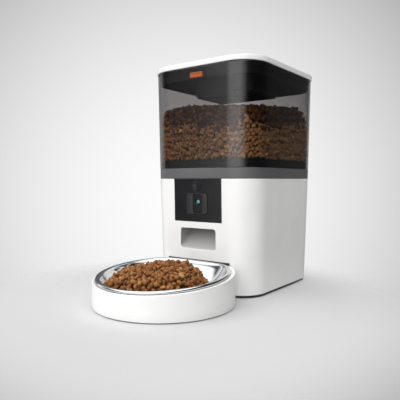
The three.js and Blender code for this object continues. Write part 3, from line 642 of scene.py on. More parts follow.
class FEEDER_OT_housing(bpy.types.Operator):
    """Makes the white base housing with its deck, its battery door and its rubber feet"""
    bl_idname = "feeder.housing"
    bl_label = "Base Housing"

    def execute(self, context):
        sizes = context.scene.feeder_sizes
        self.walls(sizes)
        self.door()
        self.feet()
        return {"FINISHED"}

    def walls(self, sizes):
        """The outer skin: the body's outline carried up the wall, round its upper edge, in over
        the deck, and then blended in straight lines to the rectangle of the hopper's throat."""
        bottom, top = HOUSING_LOW[2], HOUSING_HIGH[2]
        edge = sizes.soft_edge
        count = int((top - edge - bottom) / sizes.wall_cell)
        heights = np.linspace(bottom, top - edge, count)
        turn = np.radians(np.linspace(0, 90, 5)[1:])
        inset = np.concatenate([0 * heights, edge * (1 - np.cos(turn)), [2.9 * MM]])
        z = np.concatenate([heights, top - edge + edge * np.sin(turn), [top]])
        wall = body_rings(inset, z)
        throat = rings(WIDE, THROAT_HALF[0], THROAT_HALF[1], 1 * MM, top, (0.0, THROAT_Y))
        share = np.linspace(0, 1, 8)[1:, None, None]
        deck = wall[-1:] * (1 - share) + throat * share
        points = np.concatenate([wall, deck])
        flat = points[..., ::2].copy()
        flat[len(heights):len(z), :, 1] += inset[len(heights):, None]
        flat[len(z):, :, 1] = 1.0
        on_wall = np.zeros(points.shape[:2], bool)
        on_wall[:len(z)] = True
        front = (on_wall & (points[..., 1] < BODY_Y - NEAR_WALL), -LEAN)
        rear = (on_wall & (points[..., 1] > BODY_Y + NEAR_WALL), LEAN)
        points, faces = opened(points, wall_openings(front, rear), sizes.wall_cell, flat)
        piece("housing_shell", points, faces, "base", "white_abs",
              ["base_housing"], wall=sizes.housing_wall, bevel=0.35 * MM)

    def door(self):
        """The battery door: a plate on the rear wall with a finger slot near its top."""
        low, high = box("battery_door")
        across = np.linspace(low[0], high[0], 56)
        up = np.linspace(low[2], high[2], 84)
        x, z = np.meshgrid(across, up)
        points = np.stack([x, rear_wall(z), z], axis=-1)
        slot = (0.0, high[2] - 9.6 * MM, 12 * MM, 2 * MM, 1.9 * MM)
        everywhere = np.ones(points.shape[:2], bool)
        points, faces = opened(points, [(slot, (everywhere, LEAN))], across[1] - across[0],
                               closed_cols=False)
        piece("battery_door_panel", points, faces, "battery_door", "white_abs", ["battery_door"],
              wall=2.1 * MM, bevel=0.5 * MM, outward=False)

    def feet(self):
        """Each foot is turned: a flat sole, a rounded edge and a straight side."""
        for node in frame["nodes"]:
            if not (node.startswith("foot_") or node.startswith("tray_foot_")):
                continue
            low, high = box(node)
            radius, centre = half_size(node)[0], middle(node)
            profile = eased([(0.0, low[2]), (radius, low[2]), (radius, high[2]), (0.0, high[2])],
                            [0, 0.8 * MM, 0.3 * MM, 0])
            points = capped(turned(profile[1:-1], centre[:2]))
            body = "tray" if node.startswith("tray") else "base"
            shell(node + "_pad", points, body, "rubber", [node])


# ---------------------------------------------------------------- chute

PASSAGE_FRONT = box("chute_liner")[1][1] - 21.5 * MM  # the front of the shaft to the drum


class FEEDER_OT_chute(bpy.types.Operator):
    """Makes the duct that leads kibble out of the front, painted pale grey for the shade inside it
    """
    bl_idname = "feeder.chute"
    bl_label = "Chute"

    def execute(self, context):
        """A rounded rectangle is carried along a bent path. Its upper edge runs in from the
        mouth and turns up into a shaft, and its lower edge is the ramp and then the shaft's
        back, so that each section stands between a point on one and a point on the other."""
        high = box("chute_liner")[1]
        wall = 2 * MM
        face = front_wall(MOUTH[0]) + 0.6 * MM
        back, passage = high[1] - wall, PASSAGE_FRONT
        ramp_top = 103 * MM
        t = np.linspace(0, 1, 14)[:, None]
        upper = eased([(face, MOUTH[1]), (passage, MOUTH[1]), (passage, high[2])],
                      [0, 1.5 * MM, 0], steps=6)
        lower = eased([(face, MOUTH[0]), (back, ramp_top), (back, high[2])],
                      [0, 4 * MM, 0], steps=6)
        sections = np.concatenate([
            np.stack([upper[0] + (upper[1] - upper[0]) * t, lower[0] + (lower[1] - lower[0]) * t],
                     axis=1).reshape(-1, 2, 2),
            np.stack([upper[2:], lower[2:]], axis=1)])
        span = sections[:, 0] - sections[:, 1]
        height = np.linalg.norm(span, axis=1)
        flat = rings(SMALL, MOUTH_HALF, height / 2, np.minimum(MOUTH_CORNER, 0.45 * height), 0.0)
        centre = sections.mean(axis=1)
        direction = span / height[:, None]
        points = np.stack([
            flat[..., 0],
            centre[:, :1] + flat[..., 1] * direction[:, :1],
            centre[:, 1:] + flat[..., 1] * direction[:, 1:]], axis=-1)
        # Painted shade: the duct takes a pale grey finish for the shade in its recess.
        shell("chute_duct", points, "base", "white_abs", ["chute_liner"], finish="chute",
              wall=-1.6 * MM, bevel=0.3 * MM, outward=False)
        return {"FINISHED"}


# ---------------------------------------------------------------- camera panel

class FEEDER_OT_camera_panel(bpy.types.Operator):
    """Makes the glossy front panel with its camera window, lens and control button"""
    bl_idname = "feeder.camera_panel"
    bl_label = "Camera Panel"

    def execute(self, context):
        sizes = context.scene.feeder_sizes
        low, high = box("front_panel")
        self.height = (low[2] + high[2]) / 2
        self.panel(sizes, high[0], (high[2] - low[2]) / 2)
        self.bezel_and_window()
        self.lens()
        self.button()
        return {"FINISHED"}

    def local(self, node):
        """A node's height above the panel's middle."""
        return middle(node)[2] - self.height

    def panel(self, sizes, half_x, half_z):
        """A flat plate with two openings, for the camera's bezel and for the button."""
        across = np.linspace(-half_x, half_x, 66)
        up = np.linspace(-half_z, half_z, 50)
        x, z = np.meshgrid(across, up)
        points = on_panel(np.stack([x, z, 0 * x], axis=-1), self.height)
        everywhere = (np.ones(points.shape[:2], bool), -LEAN)
        bezel = half_size("camera_bezel")
        openings = [
            ((0.0, self.local("camera_bezel"), bezel[0] + 0.3 * MM, bezel[2] + 0.3 * MM, 4 * MM),
             everywhere),
            ((0.0, self.local("control_button"), 6.6 * MM, 6.6 * MM, 6.6 * MM), everywhere)]
        points, faces = opened(points, openings, across[1] - across[0],
                               np.stack([x, z], axis=-1), closed_cols=False)
        piece("panel_plate", points, faces, "base", "black_gloss",
              ["front_panel"], wall=2.3 * MM, bevel=sizes.panel_chamfer * 0.6)

    def bezel_and_window(self):
        """The bezel is a frame between two rounded rectangles, its front edges eased. The window
        is another, between a rounded rectangle and the round hole for the lens."""
        bezel, window = half_size("camera_bezel"), half_size("camera_window")
        level = self.local("camera_bezel")
        proud, back = 0.4 * MM, -2 * MM
        gap = 0.3 * MM

        def frame_rings(outer, inner, profile):
            """Rings between two outlines; a profile row is (share, inset, height)."""
            rows = []
            for share, inset, height in profile:
                a = rings(SMALL, outer[0] - inset, outer[1] - inset,
                          max(outer[2] - inset, 0.2 * MM), height, (0.0, outer[3]))
                b = rings(SMALL, inner[0] + inset, inner[1] + inset, inner[2] + inset, height,
                          (0.0, inner[3]))
                rows.append(a * (1 - share) + b * share)
            return np.concatenate(rows)

        edge = 0.5 * MM
        profile = [(0, 0, back), (0, 0, proud - edge), (0, 0.3 * edge, proud - 0.3 * edge),
                   (0, edge, proud)]
        profile += [(1, *row[1:]) for row in reversed(profile)]
        points = frame_rings((bezel[0], bezel[2], 3.7 * MM, level),
                             (window[0] + gap, window[2] + gap, 3 * MM, level), profile)
        shell("bezel_frame", on_panel(points, self.height), "base", "black_abs", ["camera_bezel"],
              closed_rows=True)
        lens = half_size("lens_barrel")[0] + gap
        sunk = -0.25 * MM
        profile = [(0, 0, sunk - 1.2 * MM), (0, 0, sunk - 0.2 * MM), (0, 0.2 * MM, sunk)]
        profile += [(1, *row[1:]) for row in reversed(profile)]
        points = frame_rings((window[0], window[2], 2.7 * MM, level),
                             (lens, lens, lens, self.local("lens_barrel")), profile)
        shell("window_plate", on_panel(points, self.height), "base", "black_gloss",
              ["camera_window"], closed_rows=True)

    def lens(self):
        """The barrel is turned, with stepped rings inside it, and the lens is a low dome."""
        level = self.local("lens_barrel")
        radius = half_size("lens_barrel")[0]
        glass = half_size("camera_lens")[0]
        steps = [(radius, -9 * MM), (radius, 0.1 * MM), (radius - 0.5 * MM, 0.5 * MM),
                 (4.5 * MM, 0.4 * MM), (4.3 * MM, -0.5 * MM), (4.1 * MM, -0.6 * MM),
                 (4.0 * MM, -1.6 * MM), (glass + 0.15 * MM, -1.8 * MM),
                 (glass + 0.15 * MM, -9 * MM)]
        profile = eased(steps, 0.15 * MM, closed=True, steps=2)
        points = turned(profile, (0.0, level))
        shell("lens_ring", on_panel(points, self.height), "base", "black_abs", ["lens_barrel"],
              closed_rows=True)
        angle = np.radians(np.linspace(0, 88, 10))
        dome = glass * np.cos(angle)
        rise = -2.6 * MM + 1.8 * MM * np.sin(angle)
        profile = np.concatenate([[(glass * 0.9, -4.4 * MM), (glass, -4.2 * MM)],
                                  np.stack([dome, rise], axis=1)])
        points = capped(turned(profile, (0.0, level)))
        shell("lens_dome", on_panel(points, self.height), "base", "lens_glass", ["camera_lens"])

    def button(self):
        """A dished round cap, and on it a printed ring in three arcs round a dot."""
        level = self.local("control_button")
        steps = [(7.4 * MM, -3.3 * MM), (7.4 * MM, -2.7 * MM), (6.3 * MM, -2.7 * MM),
                 (6.3 * MM, 0.35 * MM), (5.2 * MM, 0.3 * MM), (2.4 * MM, 0.12 * MM),
                 (0.6 * MM, 0.1 * MM)]
        profile = eased(steps, [0, 0, 0, 0.4 * MM, 0.5 * MM, 0.5 * MM, 0], steps=3)
        points = capped(turned(profile, (0.0, level)))
        shell("button_cap", on_panel(points, self.height), "control_button",
              "black_gloss", ["control_button"])
        icon = []
        faces = []
        for start, stop, inner, outer in ((70, 170, 4.3, 4.9), (190, 290, 4.3, 4.9),
                                          (310, 410, 4.3, 4.9), (0, 360, 0.2, 1.1)):
            angle = np.radians(np.linspace(start, stop, 25))[None, :]
            radius = np.array([[outer], [outer - 0.1], [inner + 0.1], [inner]]) * MM
            height = np.array([[0.24], [0.4], [0.4], [0.24]]) * MM
            arc = np.stack([radius * np.cos(angle), level + radius * np.sin(angle),
                            height + 0 * angle], axis=-1)
            faces.append(grid_faces(4, 25, closed_cols=False) + 100 * len(icon))
            icon.append(arc)
        points = on_panel(np.concatenate(icon).reshape(-1, 3), self.height)
        piece("button_mark", points, np.concatenate(faces), "control_button",
              "black_abs")


# ---------------------------------------------------------------- hopper

class FEEDER_OT_hopper(bpy.types.Operator):
    """Makes the grey collar, the smoked hopper and the orange lid release"""
    bl_idname = "feeder.hopper"
    bl_label = "Hopper"

    def execute(self, context):
        sizes = context.scene.feeder_sizes
        self.collar()
        self.tank(sizes)
        self.release()
        return {"FINISHED"}

    def collar(self):
        """A band: up the outside, in over the top, down the inside, every edge eased."""
        low, high = COLLAR_LOW[2], COLLAR_HIGH[2]
        profile = eased([(0, low), (0, high), (2.9 * MM, high), (2.9 * MM, low)],
                        [0.7 * MM, 0.5 * MM, 0.3 * MM, 0.3 * MM], closed=True)
        shell("collar_band", body_rings(profile[:, 0], profile[:, 1]), "hopper",
              "grey_abs", ["hopper_collar"], closed_rows=True)

    def tank(self, sizes):
        """The hopper's outer skin, with a notch for the release, thickened inwards."""
        heights = np.linspace(TANK_LOW[2], TANK_HIGH[2], 90)
        points = body_rings(0.0, heights)
        half = half_size("lid_button")
        notch = (0.0, middle("lid_button")[2], half[0] - 1.0 * MM, half[2] - 0.9 * MM, 0.8 * MM)
        slope = -float((HALF_DEPTHS[2] - HALF_DEPTHS[1]) / (LEVELS[2] - LEVELS[1]))
        front = (points[..., 1] < BODY_Y - NEAR_WALL, slope)
        points, faces = opened(points, [(notch, front)], sizes.wall_cell)
        piece("smoked_wall", points, faces, "hopper", "smoked_plastic", ["hopper_tank"],
              wall=sizes.hopper_wall, bevel=0.4 * MM)

    def release(self):
        """The release's tab is a block of rounded sections with a shallow thumb hollow."""
        low, high = box("lid_button")
        half = half_size("lid_button")
        inset, height = np.array([
            (0, low[1] - high[1]), (0, -0.6 * MM), (0.25 * MM, -0.15 * MM), (0.7 * MM, 0.0),
            (1.6 * MM, -0.1 * MM), (2.6 * MM, -0.3 * MM), (3.3 * MM, -0.35 * MM)]).T
        points = capped(rings(SMALL, half[0] - 1.3 * MM - inset, half[2] - 1.2 * MM - inset,
                              np.maximum(1.0 * MM - inset, 0.15 * MM), height))
        front = (0.0, low[1], middle("lid_button")[2])
        points = lie_in(points, front, ACROSS, UP, -BACKWARDS)
        shell("release_tab", points, "lid_button", "orange_plastic", ["lid_button"])


# ---------------------------------------------------------------- lid

class FEEDER_OT_lid(bpy.types.Operator):
    """Makes the white lid, the black liner under it and the desiccant box"""
    bl_idname = "feeder.lid"
    bl_label = "Lid"

    def execute(self, context):
        sizes = context.scene.feeder_sizes
        self.cover(sizes)
        self.liner()
        self.desiccant_box()
        return {"FINISHED"}

    def cover(self, sizes):
        """A crowned slab: up from the pocket's edge, round the side and over the top, where the
        height falls off with the square of the way out, and down again inside the pocket."""
        half_x, half_y = half_size("lid_cover")[:2]
        low, high, edge = LID_LOW[2], LID_HIGH[2], sizes.lid_edge
        corner, lip, pocket = 42 * MM, 3 * MM, 5.4 * MM
        crown = sizes.lid_crown
        outside = eased([(lip, low + pocket), (lip, low), (0, low), (0, high - crown),
                         (6 * MM, high - crown)], [0, 0.5 * MM, 0.9 * MM, edge, 0], steps=6)
        share = np.linspace(0, 1, 16)[1:]
        inset, z = outside[:, 0], outside[:, 1]
        sides = rings(WIDE, half_x - inset, half_y - inset, corner - inset, z, (0.0, BODY_Y))
        middle_point = np.array([0.0, BODY_Y, 0.0])
        across = sides[-1:] - (0, 0, sides[-1, 0, 2])
        top = middle_point + (across - middle_point) * (1 - share)[:, None, None]
        top[..., 2] = (high - crown + crown * (1 - (1 - share) ** 2))[:, None]
        under = np.broadcast_to(middle_point + (0, 0, low + pocket), sides[:1].shape)
        points = np.concatenate([under, sides, top])
        shell("lid_top", points, "lid", "white_abs", ["lid_cover"])

    def liner(self):
        """A tray turned over: its skirt hangs inside the hopper, with a notch at the release,
        and its flange lies under the lid."""
        skirt, low, high = 4.4 * MM, LINER_LOW[2], LINER_HIGH[2]
        seat = LID_LOW[2] + 0.15 * MM
        profile = eased([(skirt, low), (skirt, seat), (1.9 * MM, seat), (1.9 * MM, high - 0.4 * MM),
                         (12 * MM, high - 0.4 * MM)], [0, 0.3 * MM, 0.3 * MM, 1 * MM, 0])
        rows = np.linspace(low, seat - 1 * MM, 12)[:-1]
        inset = np.concatenate([np.full(len(rows), skirt), profile[1:, 0]])
        z = np.concatenate([rows, profile[1:, 1]])
        side = body_rings(inset, np.minimum(z, TANK_HIGH[2]))
        side[..., 2] = z[:, None]
        share = np.linspace(0, 1, 6)[1:, None, None]
        middle_point = np.array([0.0, BODY_Y, high - 0.4 * MM])
        points = np.concatenate([side, side[-1:] + (middle_point - side[-1:]) * share])
        chosen = (points[..., 1] < BODY_Y - NEAR_WALL) & (points[..., 2] < seat)
        notch = (0.0, low, 14 * MM, 10.2 * MM, 0.8 * MM)
        points, faces = opened(points, [(notch, (chosen, 0.0))], 1.6 * MM)
        piece("liner_tray", points, faces, "lid", "black_abs",
              ["lid_liner"], wall=2.1 * MM, bevel=0.3 * MM)

    def desiccant_box(self):
        """The desiccant box: four walls with eased edges under a flat roof, open downwards."""
        low, high = box("desiccant_box")
        half_x, half_y = half_size("desiccant_box")[:2]
        centre = tuple(middle("desiccant_box")[:2])
        wall, roof = 1.8 * MM, 2.3 * MM
        profile = eased([(wall, high[2] - roof), (wall, low[2]), (0, low[2]),
                         (0, high[2] - 0.2 * MM)], [0, 0.4 * MM, 0.6 * MM, 0])
        inset = profile[:, 0]
        points = capped(rings(SMALL, half_x - inset, half_y - inset, 6 * MM - inset,
                              profile[:, 1], centre))
        shell("desiccant_housing", points, "lid", "black_abs",
              ["desiccant_box"])


# ---------------------------------------------------------------- tray and bowl

TRAY_LOW, TRAY_HIGH = box("bowl_tray")
BOWL_LOW = box("steel_bowl")[0]
TRAY_RADIUS = half_size("bowl_tray")[0]
TRAY_Y = TRAY_LOW[1] + TRAY_RADIUS
BOWL_RADIUS = half_size("steel_bowl")[0]
BOWL_FLAT = 72.5 * MM  # from the bowl's centre to its flat back
RIM_SLOPE = 0.08  # the rim rises towards the housing
RIM_TILT = math.atan(RIM_SLOPE)
BOWL_Y = BOWL_LOW[1] + BOWL_RADIUS * math.cos(RIM_TILT)
RIM_Z = 40.9 * MM  # at the bowl's centre
RIM_DROP = -1.9 * MM  # of the tray's edge, below the bowl's rim plane
TRAY_GAP = 1.1 * MM  # between the tray and the housing, where a dark strip paints the shade in the gap
D_SHARPNESS = 14.0  # of the corners between the bowl's round and its flat back
TRAY_SHARPNESS = 60.0
TURNS = np.radians(np.linspace(0, 360, 160, endpoint=False))


def flattened(angle, radius, flat, sharpness):
    """How far out a circle with a straight back reaches at each angle: the circle's radius times
    (1 + s^n)^(-1/n), where s is the sine of the angle times radius / flat and n the sharpness."""
    towards = np.maximum(np.sin(angle), 1e-3) * radius / flat
    return radius * (1 + towards ** sharpness) ** (-1 / sharpness)


def rim_frame(points):
    """Turns points given in the rim's plane into the tilted place of the bowl."""
    c, s = math.cos(RIM_TILT), math.sin(RIM_TILT)
    x, y, z = points[..., 0], points[..., 1], points[..., 2]
    return np.stack([x, BOWL_Y + y * c - z * s, RIM_Z + y * s + z * c], axis=-1)


def bowl_rings(profile):
    """A profile of (radius, height) turned about the bowl's axis and pressed to its D outline."""
    profile = np.asarray(profile)
    pull = flattened(TURNS, BOWL_RADIUS, BOWL_FLAT, D_SHARPNESS) / BOWL_RADIUS
    radius = profile[:, :1] * pull
    x, y = radius * np.cos(TURNS), radius * np.sin(TURNS)
    return rim_frame(np.stack([x, y, np.broadcast_to(profile[:, 1:], x.shape)], axis=-1))


class FEEDER_OT_tray(bpy.types.Operator):
    """Makes the round white tray that holds the bowl, with its two hooks"""
    bl_idname = "feeder.tray"
    bl_label = "Bowl Tray"

    def execute(self, context):
        """From the middle of the underside out below the well, down the wall's inner face, up
        its outer face, round the tilted edge, and down the well to the middle again."""
        edge = context.scene.feeder_sizes.tray_edge
        wall = 2.4 * MM
        bottom, top = TRAY_LOW[2], RIM_DROP
        under = np.array([(6, -30.8), (66.4, -30.8), (80.3, -23), (85.6, -8.2), (85.8, -4.2)])
        well = np.array([(89.6, -2.2), (89.6, -2.8), (84.3, -2.8), (84.1, -8), (79, -22),
                         (66, -29.3), (6, -29.3)])
        turn = np.radians(np.linspace(0, 90, 7))
        points = np.concatenate([
            bowl_rings(eased(under * MM, np.array([0, 8, 8, 1, 0]) * MM)),
            [self.wall(wall, 4.2 * MM), self.wall(wall, None, bottom + 2 * MM),
             self.wall(wall, None, bottom), self.wall(1 * MM, None, bottom),
             self.wall(0.3 * MM, None, bottom + 0.3 * MM), self.wall(0, None, bottom + 1 * MM)],
            [self.wall(0, edge + share * 20 * MM) for share in np.linspace(1, 0, 5)[:-1]],
            [self.wall(edge * (1 - math.cos(a)), edge * (1 - math.sin(a))) for a in turn],
            bowl_rings([(90.2 * MM, top), (89.8 * MM, top - 0.15 * MM)]),
            bowl_rings(eased(well * MM, np.array([0, 0.3, 0.8, 3, 8, 8, 0]) * MM))])
        shell("tray_body", capped(points), "tray", "white_abs",
              ["bowl_tray"])
        self.hooks()
        self.gap_shade_strip()
        return {"FINISHED"}

    def wall(self, inset, below, height=None):
        """A ring of the tray's wall: a circle with its back cut straight, following the housing's
        lean. It lies at a height, or a depth below the rim's tilted plane."""
        z = np.full(len(TURNS), TRAY_HIGH[2] - below if height is None else height)
        back = front_wall(z) - TRAY_GAP - TRAY_Y - inset
        reach = flattened(TURNS, TRAY_RADIUS - inset, back, TRAY_SHARPNESS)
        x, y = reach * np.cos(TURNS), TRAY_Y + reach * np.sin(TURNS)
        if height is None:
            z = RIM_Z + RIM_DROP + (y - BOWL_Y) * RIM_SLOPE - below
        return np.stack([x, y, z], axis=-1)

    def gap_shade_strip(self):
        """A dark rubber strip in the gap between the tray's back and the housing: painted shade for
        the shadow in that gap.
        """
        top = RIM_Z + RIM_DROP + (float(front_wall(45 * MM)) - BOWL_Y) * RIM_SLOPE + 3.4 * MM
        height = eased([(TRAY_GAP * 0.9, 20 * MM), (TRAY_GAP * 0.9, top), (TRAY_GAP * 0.2, top),
                        (TRAY_GAP * 0.2, 20 * MM)], 0.25 * MM, closed=True)
        x, z = np.meshgrid(np.linspace(-54, 54, 12) * MM, height[:, 1], indexing="ij")
        y = front_wall(z) - height[:, 0]
        points = capped(np.stack([x, y, z], axis=-1))
        shell("tray_gap_shade_strip", points, "tray", "rubber", outward=False)

    def hooks(self):
        """Each hook is a flat tongue with rounded sections that runs back into the housing."""
        root, tip = TRAY_HIGH[1] - 9 * MM, TRAY_HIGH[1]
        profile = eased([(0, 0), (0, tip - root), (3 * MM, tip - root)], [0, 1.2 * MM, 0], steps=3)
        for way, side in ((1, "left"), (-1, "right")):
            flat = capped(rings(SMALL, 8 * MM - profile[:, 0] * 0.6, 3 * MM - profile[:, 0] * 0.6,
                                0.9 * MM, profile[:, 1], (way * HOOK_MIDDLE, 0.0)))
            points = lie_in(flat, (0.0, root, HOOK_LEVEL), ACROSS, UP, BACKWARDS)
            shell("tray_hook_" + side, points, "tray", "white_abs",
                  outward=False)


class FEEDER_OT_bowl(bpy.types.Operator):
    """Makes the polished steel bowl with its rolled rim"""
    bl_idname = "feeder.bowl"
    bl_label = "Steel Bowl"

    def execute(self, context):
        """Up the outside from the middle of the floor, round the rolled rim and down the inside
        to the middle again, about a millimetre thick."""
        depth = context.scene.feeder_sizes.bowl_depth
        thick = 1.0 * MM
        rim = BOWL_RADIUS
        corners = np.array([
            (6 * MM, -depth), (56 * MM, -depth), (67 * MM, -depth + 4 * MM), (75.5 * MM, -14 * MM),
            (81.9 * MM, -4 * MM), (82.9 * MM, -1.2 * MM), (rim - 1.2 * MM, -1.2 * MM),
            (rim - 1.0 * MM, -1.9 * MM), (rim - 0.1 * MM, -1.8 * MM), (rim, 0.2 * MM),
            (rim - 1.0 * MM, 1.7 * MM), (rim - 2.6 * MM, 1.9 * MM), (84.0 * MM, 1.3 * MM),
            (82.2 * MM, -0.6 * MM), (80.6 * MM, -4.2 * MM), (74.6 * MM, -13.4 * MM),
            (66.3 * MM, -depth + 4.4 * MM), (56 * MM, -depth + thick), (6 * MM, -depth + thick)])
        radii = np.array([0, 8, 8, 5, 2, 0.8, 0.2, 0.2, 0.4, 0.8, 0.8, 0.8, 1.2, 2, 3, 5, 8, 8, 0])
        points = capped(bowl_rings(eased(corners, radii * MM, steps=5)))
        shell("bowl_pan", points, "bowl", "polished_steel",
              ["steel_bowl"], smooth=60.0)
        return {"FINISHED"}


# ---------------------------------------------------------------- kibble

PUFF = 0.62  # a kibble's thickness, as a share of its width
POLE = 0.54  # the height of its middle, above and below, in radii


def kibble_mesh(centres, radii, random, tone):
    """Many pieces of kibble. Each is a squat puffed disc on a small grid of angles u and v:
    radius * (cos v * cos u, cos v * sin u, PUFF * sin v), pushed in and out by low waves with
    phases of its own and a little noise, stretched by up to a fifth, then turned at random."""
    rows, cols = 4, 6
    v = np.radians(np.linspace(-54, 54, rows))[:, None]
    u = np.radians(np.arange(cols) * 360 / cols)[None, :]
    count = len(centres)
    phases = random.uniform(0, 2 * np.pi, (3, count, 1, 1))
    swell = (1 + 0.13 * np.sin(2 * u + phases[0]) + 0.12 * np.sin(3 * u + phases[1])
             + 0.12 * np.sin(2 * v + u + phases[2])
             + random.normal(0, 0.045, (count, rows, cols)))
    ring = np.stack([np.cos(v) * np.cos(u) * swell, np.cos(v) * np.sin(u) * swell,
                     PUFF * np.sin(v) * swell], axis=-1).reshape(count, rows * cols, 3)
    poles = np.zeros((count, 2, 3))
    poles[:, 0, 2], poles[:, 1, 2] = -POLE, POLE
    stretch = random.uniform(0.82, 1.2, (count, 1, 3))
    local = np.concatenate([ring, poles], axis=1) * radii[:, None, None] * stretch
    axes, _ = np.linalg.qr(random.normal(size=(count, 3, 3)))
    axes *= np.sign(np.linalg.det(axes))[:, None, None]
    points = np.einsum("nij,nkj->nki", axes, local) + centres[:, None, :]
    size = rows * cols + 2
    quads = grid_faces(rows, cols)
    start = np.arange(count)[:, None, None] * size
    quads = (quads[None] + start).reshape(-1, 4)
    c = np.arange(cols)
    low = np.stack([np.full(cols, rows * cols), (c + 1) % cols, c], axis=-1)
    top_row = (rows - 1) * cols
    high = np.stack([np.full(cols, rows * cols + 1), top_row + c, top_row + (c + 1) % cols],
                    axis=-1)
    ends = (np.concatenate([low, high])[None] + start).reshape(-1, 3)
    # Each piece's bake spreads about its tone, which in the hopper holds painted shade and painted
    # light.
    bake = np.repeat(np.clip(random.normal(tone, 0.2, count), 0, 1.5), size)
    return points.reshape(-1, 3), quads.tolist() + ends.tolist(), bake


def scattered(name, centres, radii, random, body, tone):
    """Kibble at the given centres as one mesh, with each piece's bake, and any painted shade or
    light in it, stored on its points.
    """
    points, faces, bake = kibble_mesh(centres, radii, random, tone)
    mesh = bpy.data.meshes.new(name)
    mesh.from_pydata(points.tolist(), [], faces)
    mesh.attributes.new("bake", "FLOAT", "POINT").data.foreach_set(
        "value", bake.astype(np.float32))
    mesh.shade_smooth()
    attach(placed(name, mesh, finish_for("kibble")), body)


def around_wall(inset, z, spacing, offset):
    """Points evenly spaced along the body's outline, drawn in by inset, at height z: the running
    length round a fine outline is stepped through and each point is looked up on it."""
    line = body_rings([inset], [z])[0]
    line = np.concatenate([line, line[:1]])
    length = np.concatenate([[0], np.cumsum(np.linalg.norm(np.diff(line, axis=0), axis=1))])
    count = int(length[-1] / spacing)
    at = (np.arange(count) + offset) / count * length[-1]
    return np.stack([np.interp(at, length, line[:, n]) for n in range(3)], axis=-1)


HEAP_SHOULDER = 30 * MM  # how far in from the walls the hopper's heap has risen fully
LEFT_SHOULDER = 52 * MM  # how far in from the left wall its dip begins
LEFT_DIP = 13 * MM
HEAP_CAP = 63 * MM  # the highest that the heap rises above its level at the wall
PAINTED_LIGHT_SIDE = 0.5  # painted light: the share by which the kibble is painted paler at the wall on +x than in the middle
HEAP_PLACE = np.array([-7.5 * MM, -12 * MM])  # the middle of the bowl's heap, from the bowl's own
HEAP_TILT = (0.055, 0.04)  # the slope of the bowl's heap along x and y
HEAP_EDGE = (49, 24)  # where the bowl's heap starts to fall away and how gently, in mm
BOWL_FLOOR = -24.6 * MM  # of the kibble's core, below the rim's plane
BOWL_REACH = 80 * MM
# The bowl's inner wall from its middle outwards: radius and height over the rim's plane.
BOWL_INSIDE = np.array([(0, -25), (56, -25), (66, -21.6), (74.5, -13.4), (80.5, -4.2)]) * MM
# Spacings of the hopper's kibble, in radii of a piece: between rows, along a row, and the two
# layers' distances from the wall.
ROW_STEP, PIECE_STEP, LAYERS = 1.56, 1.84, (1.15, 2.5)


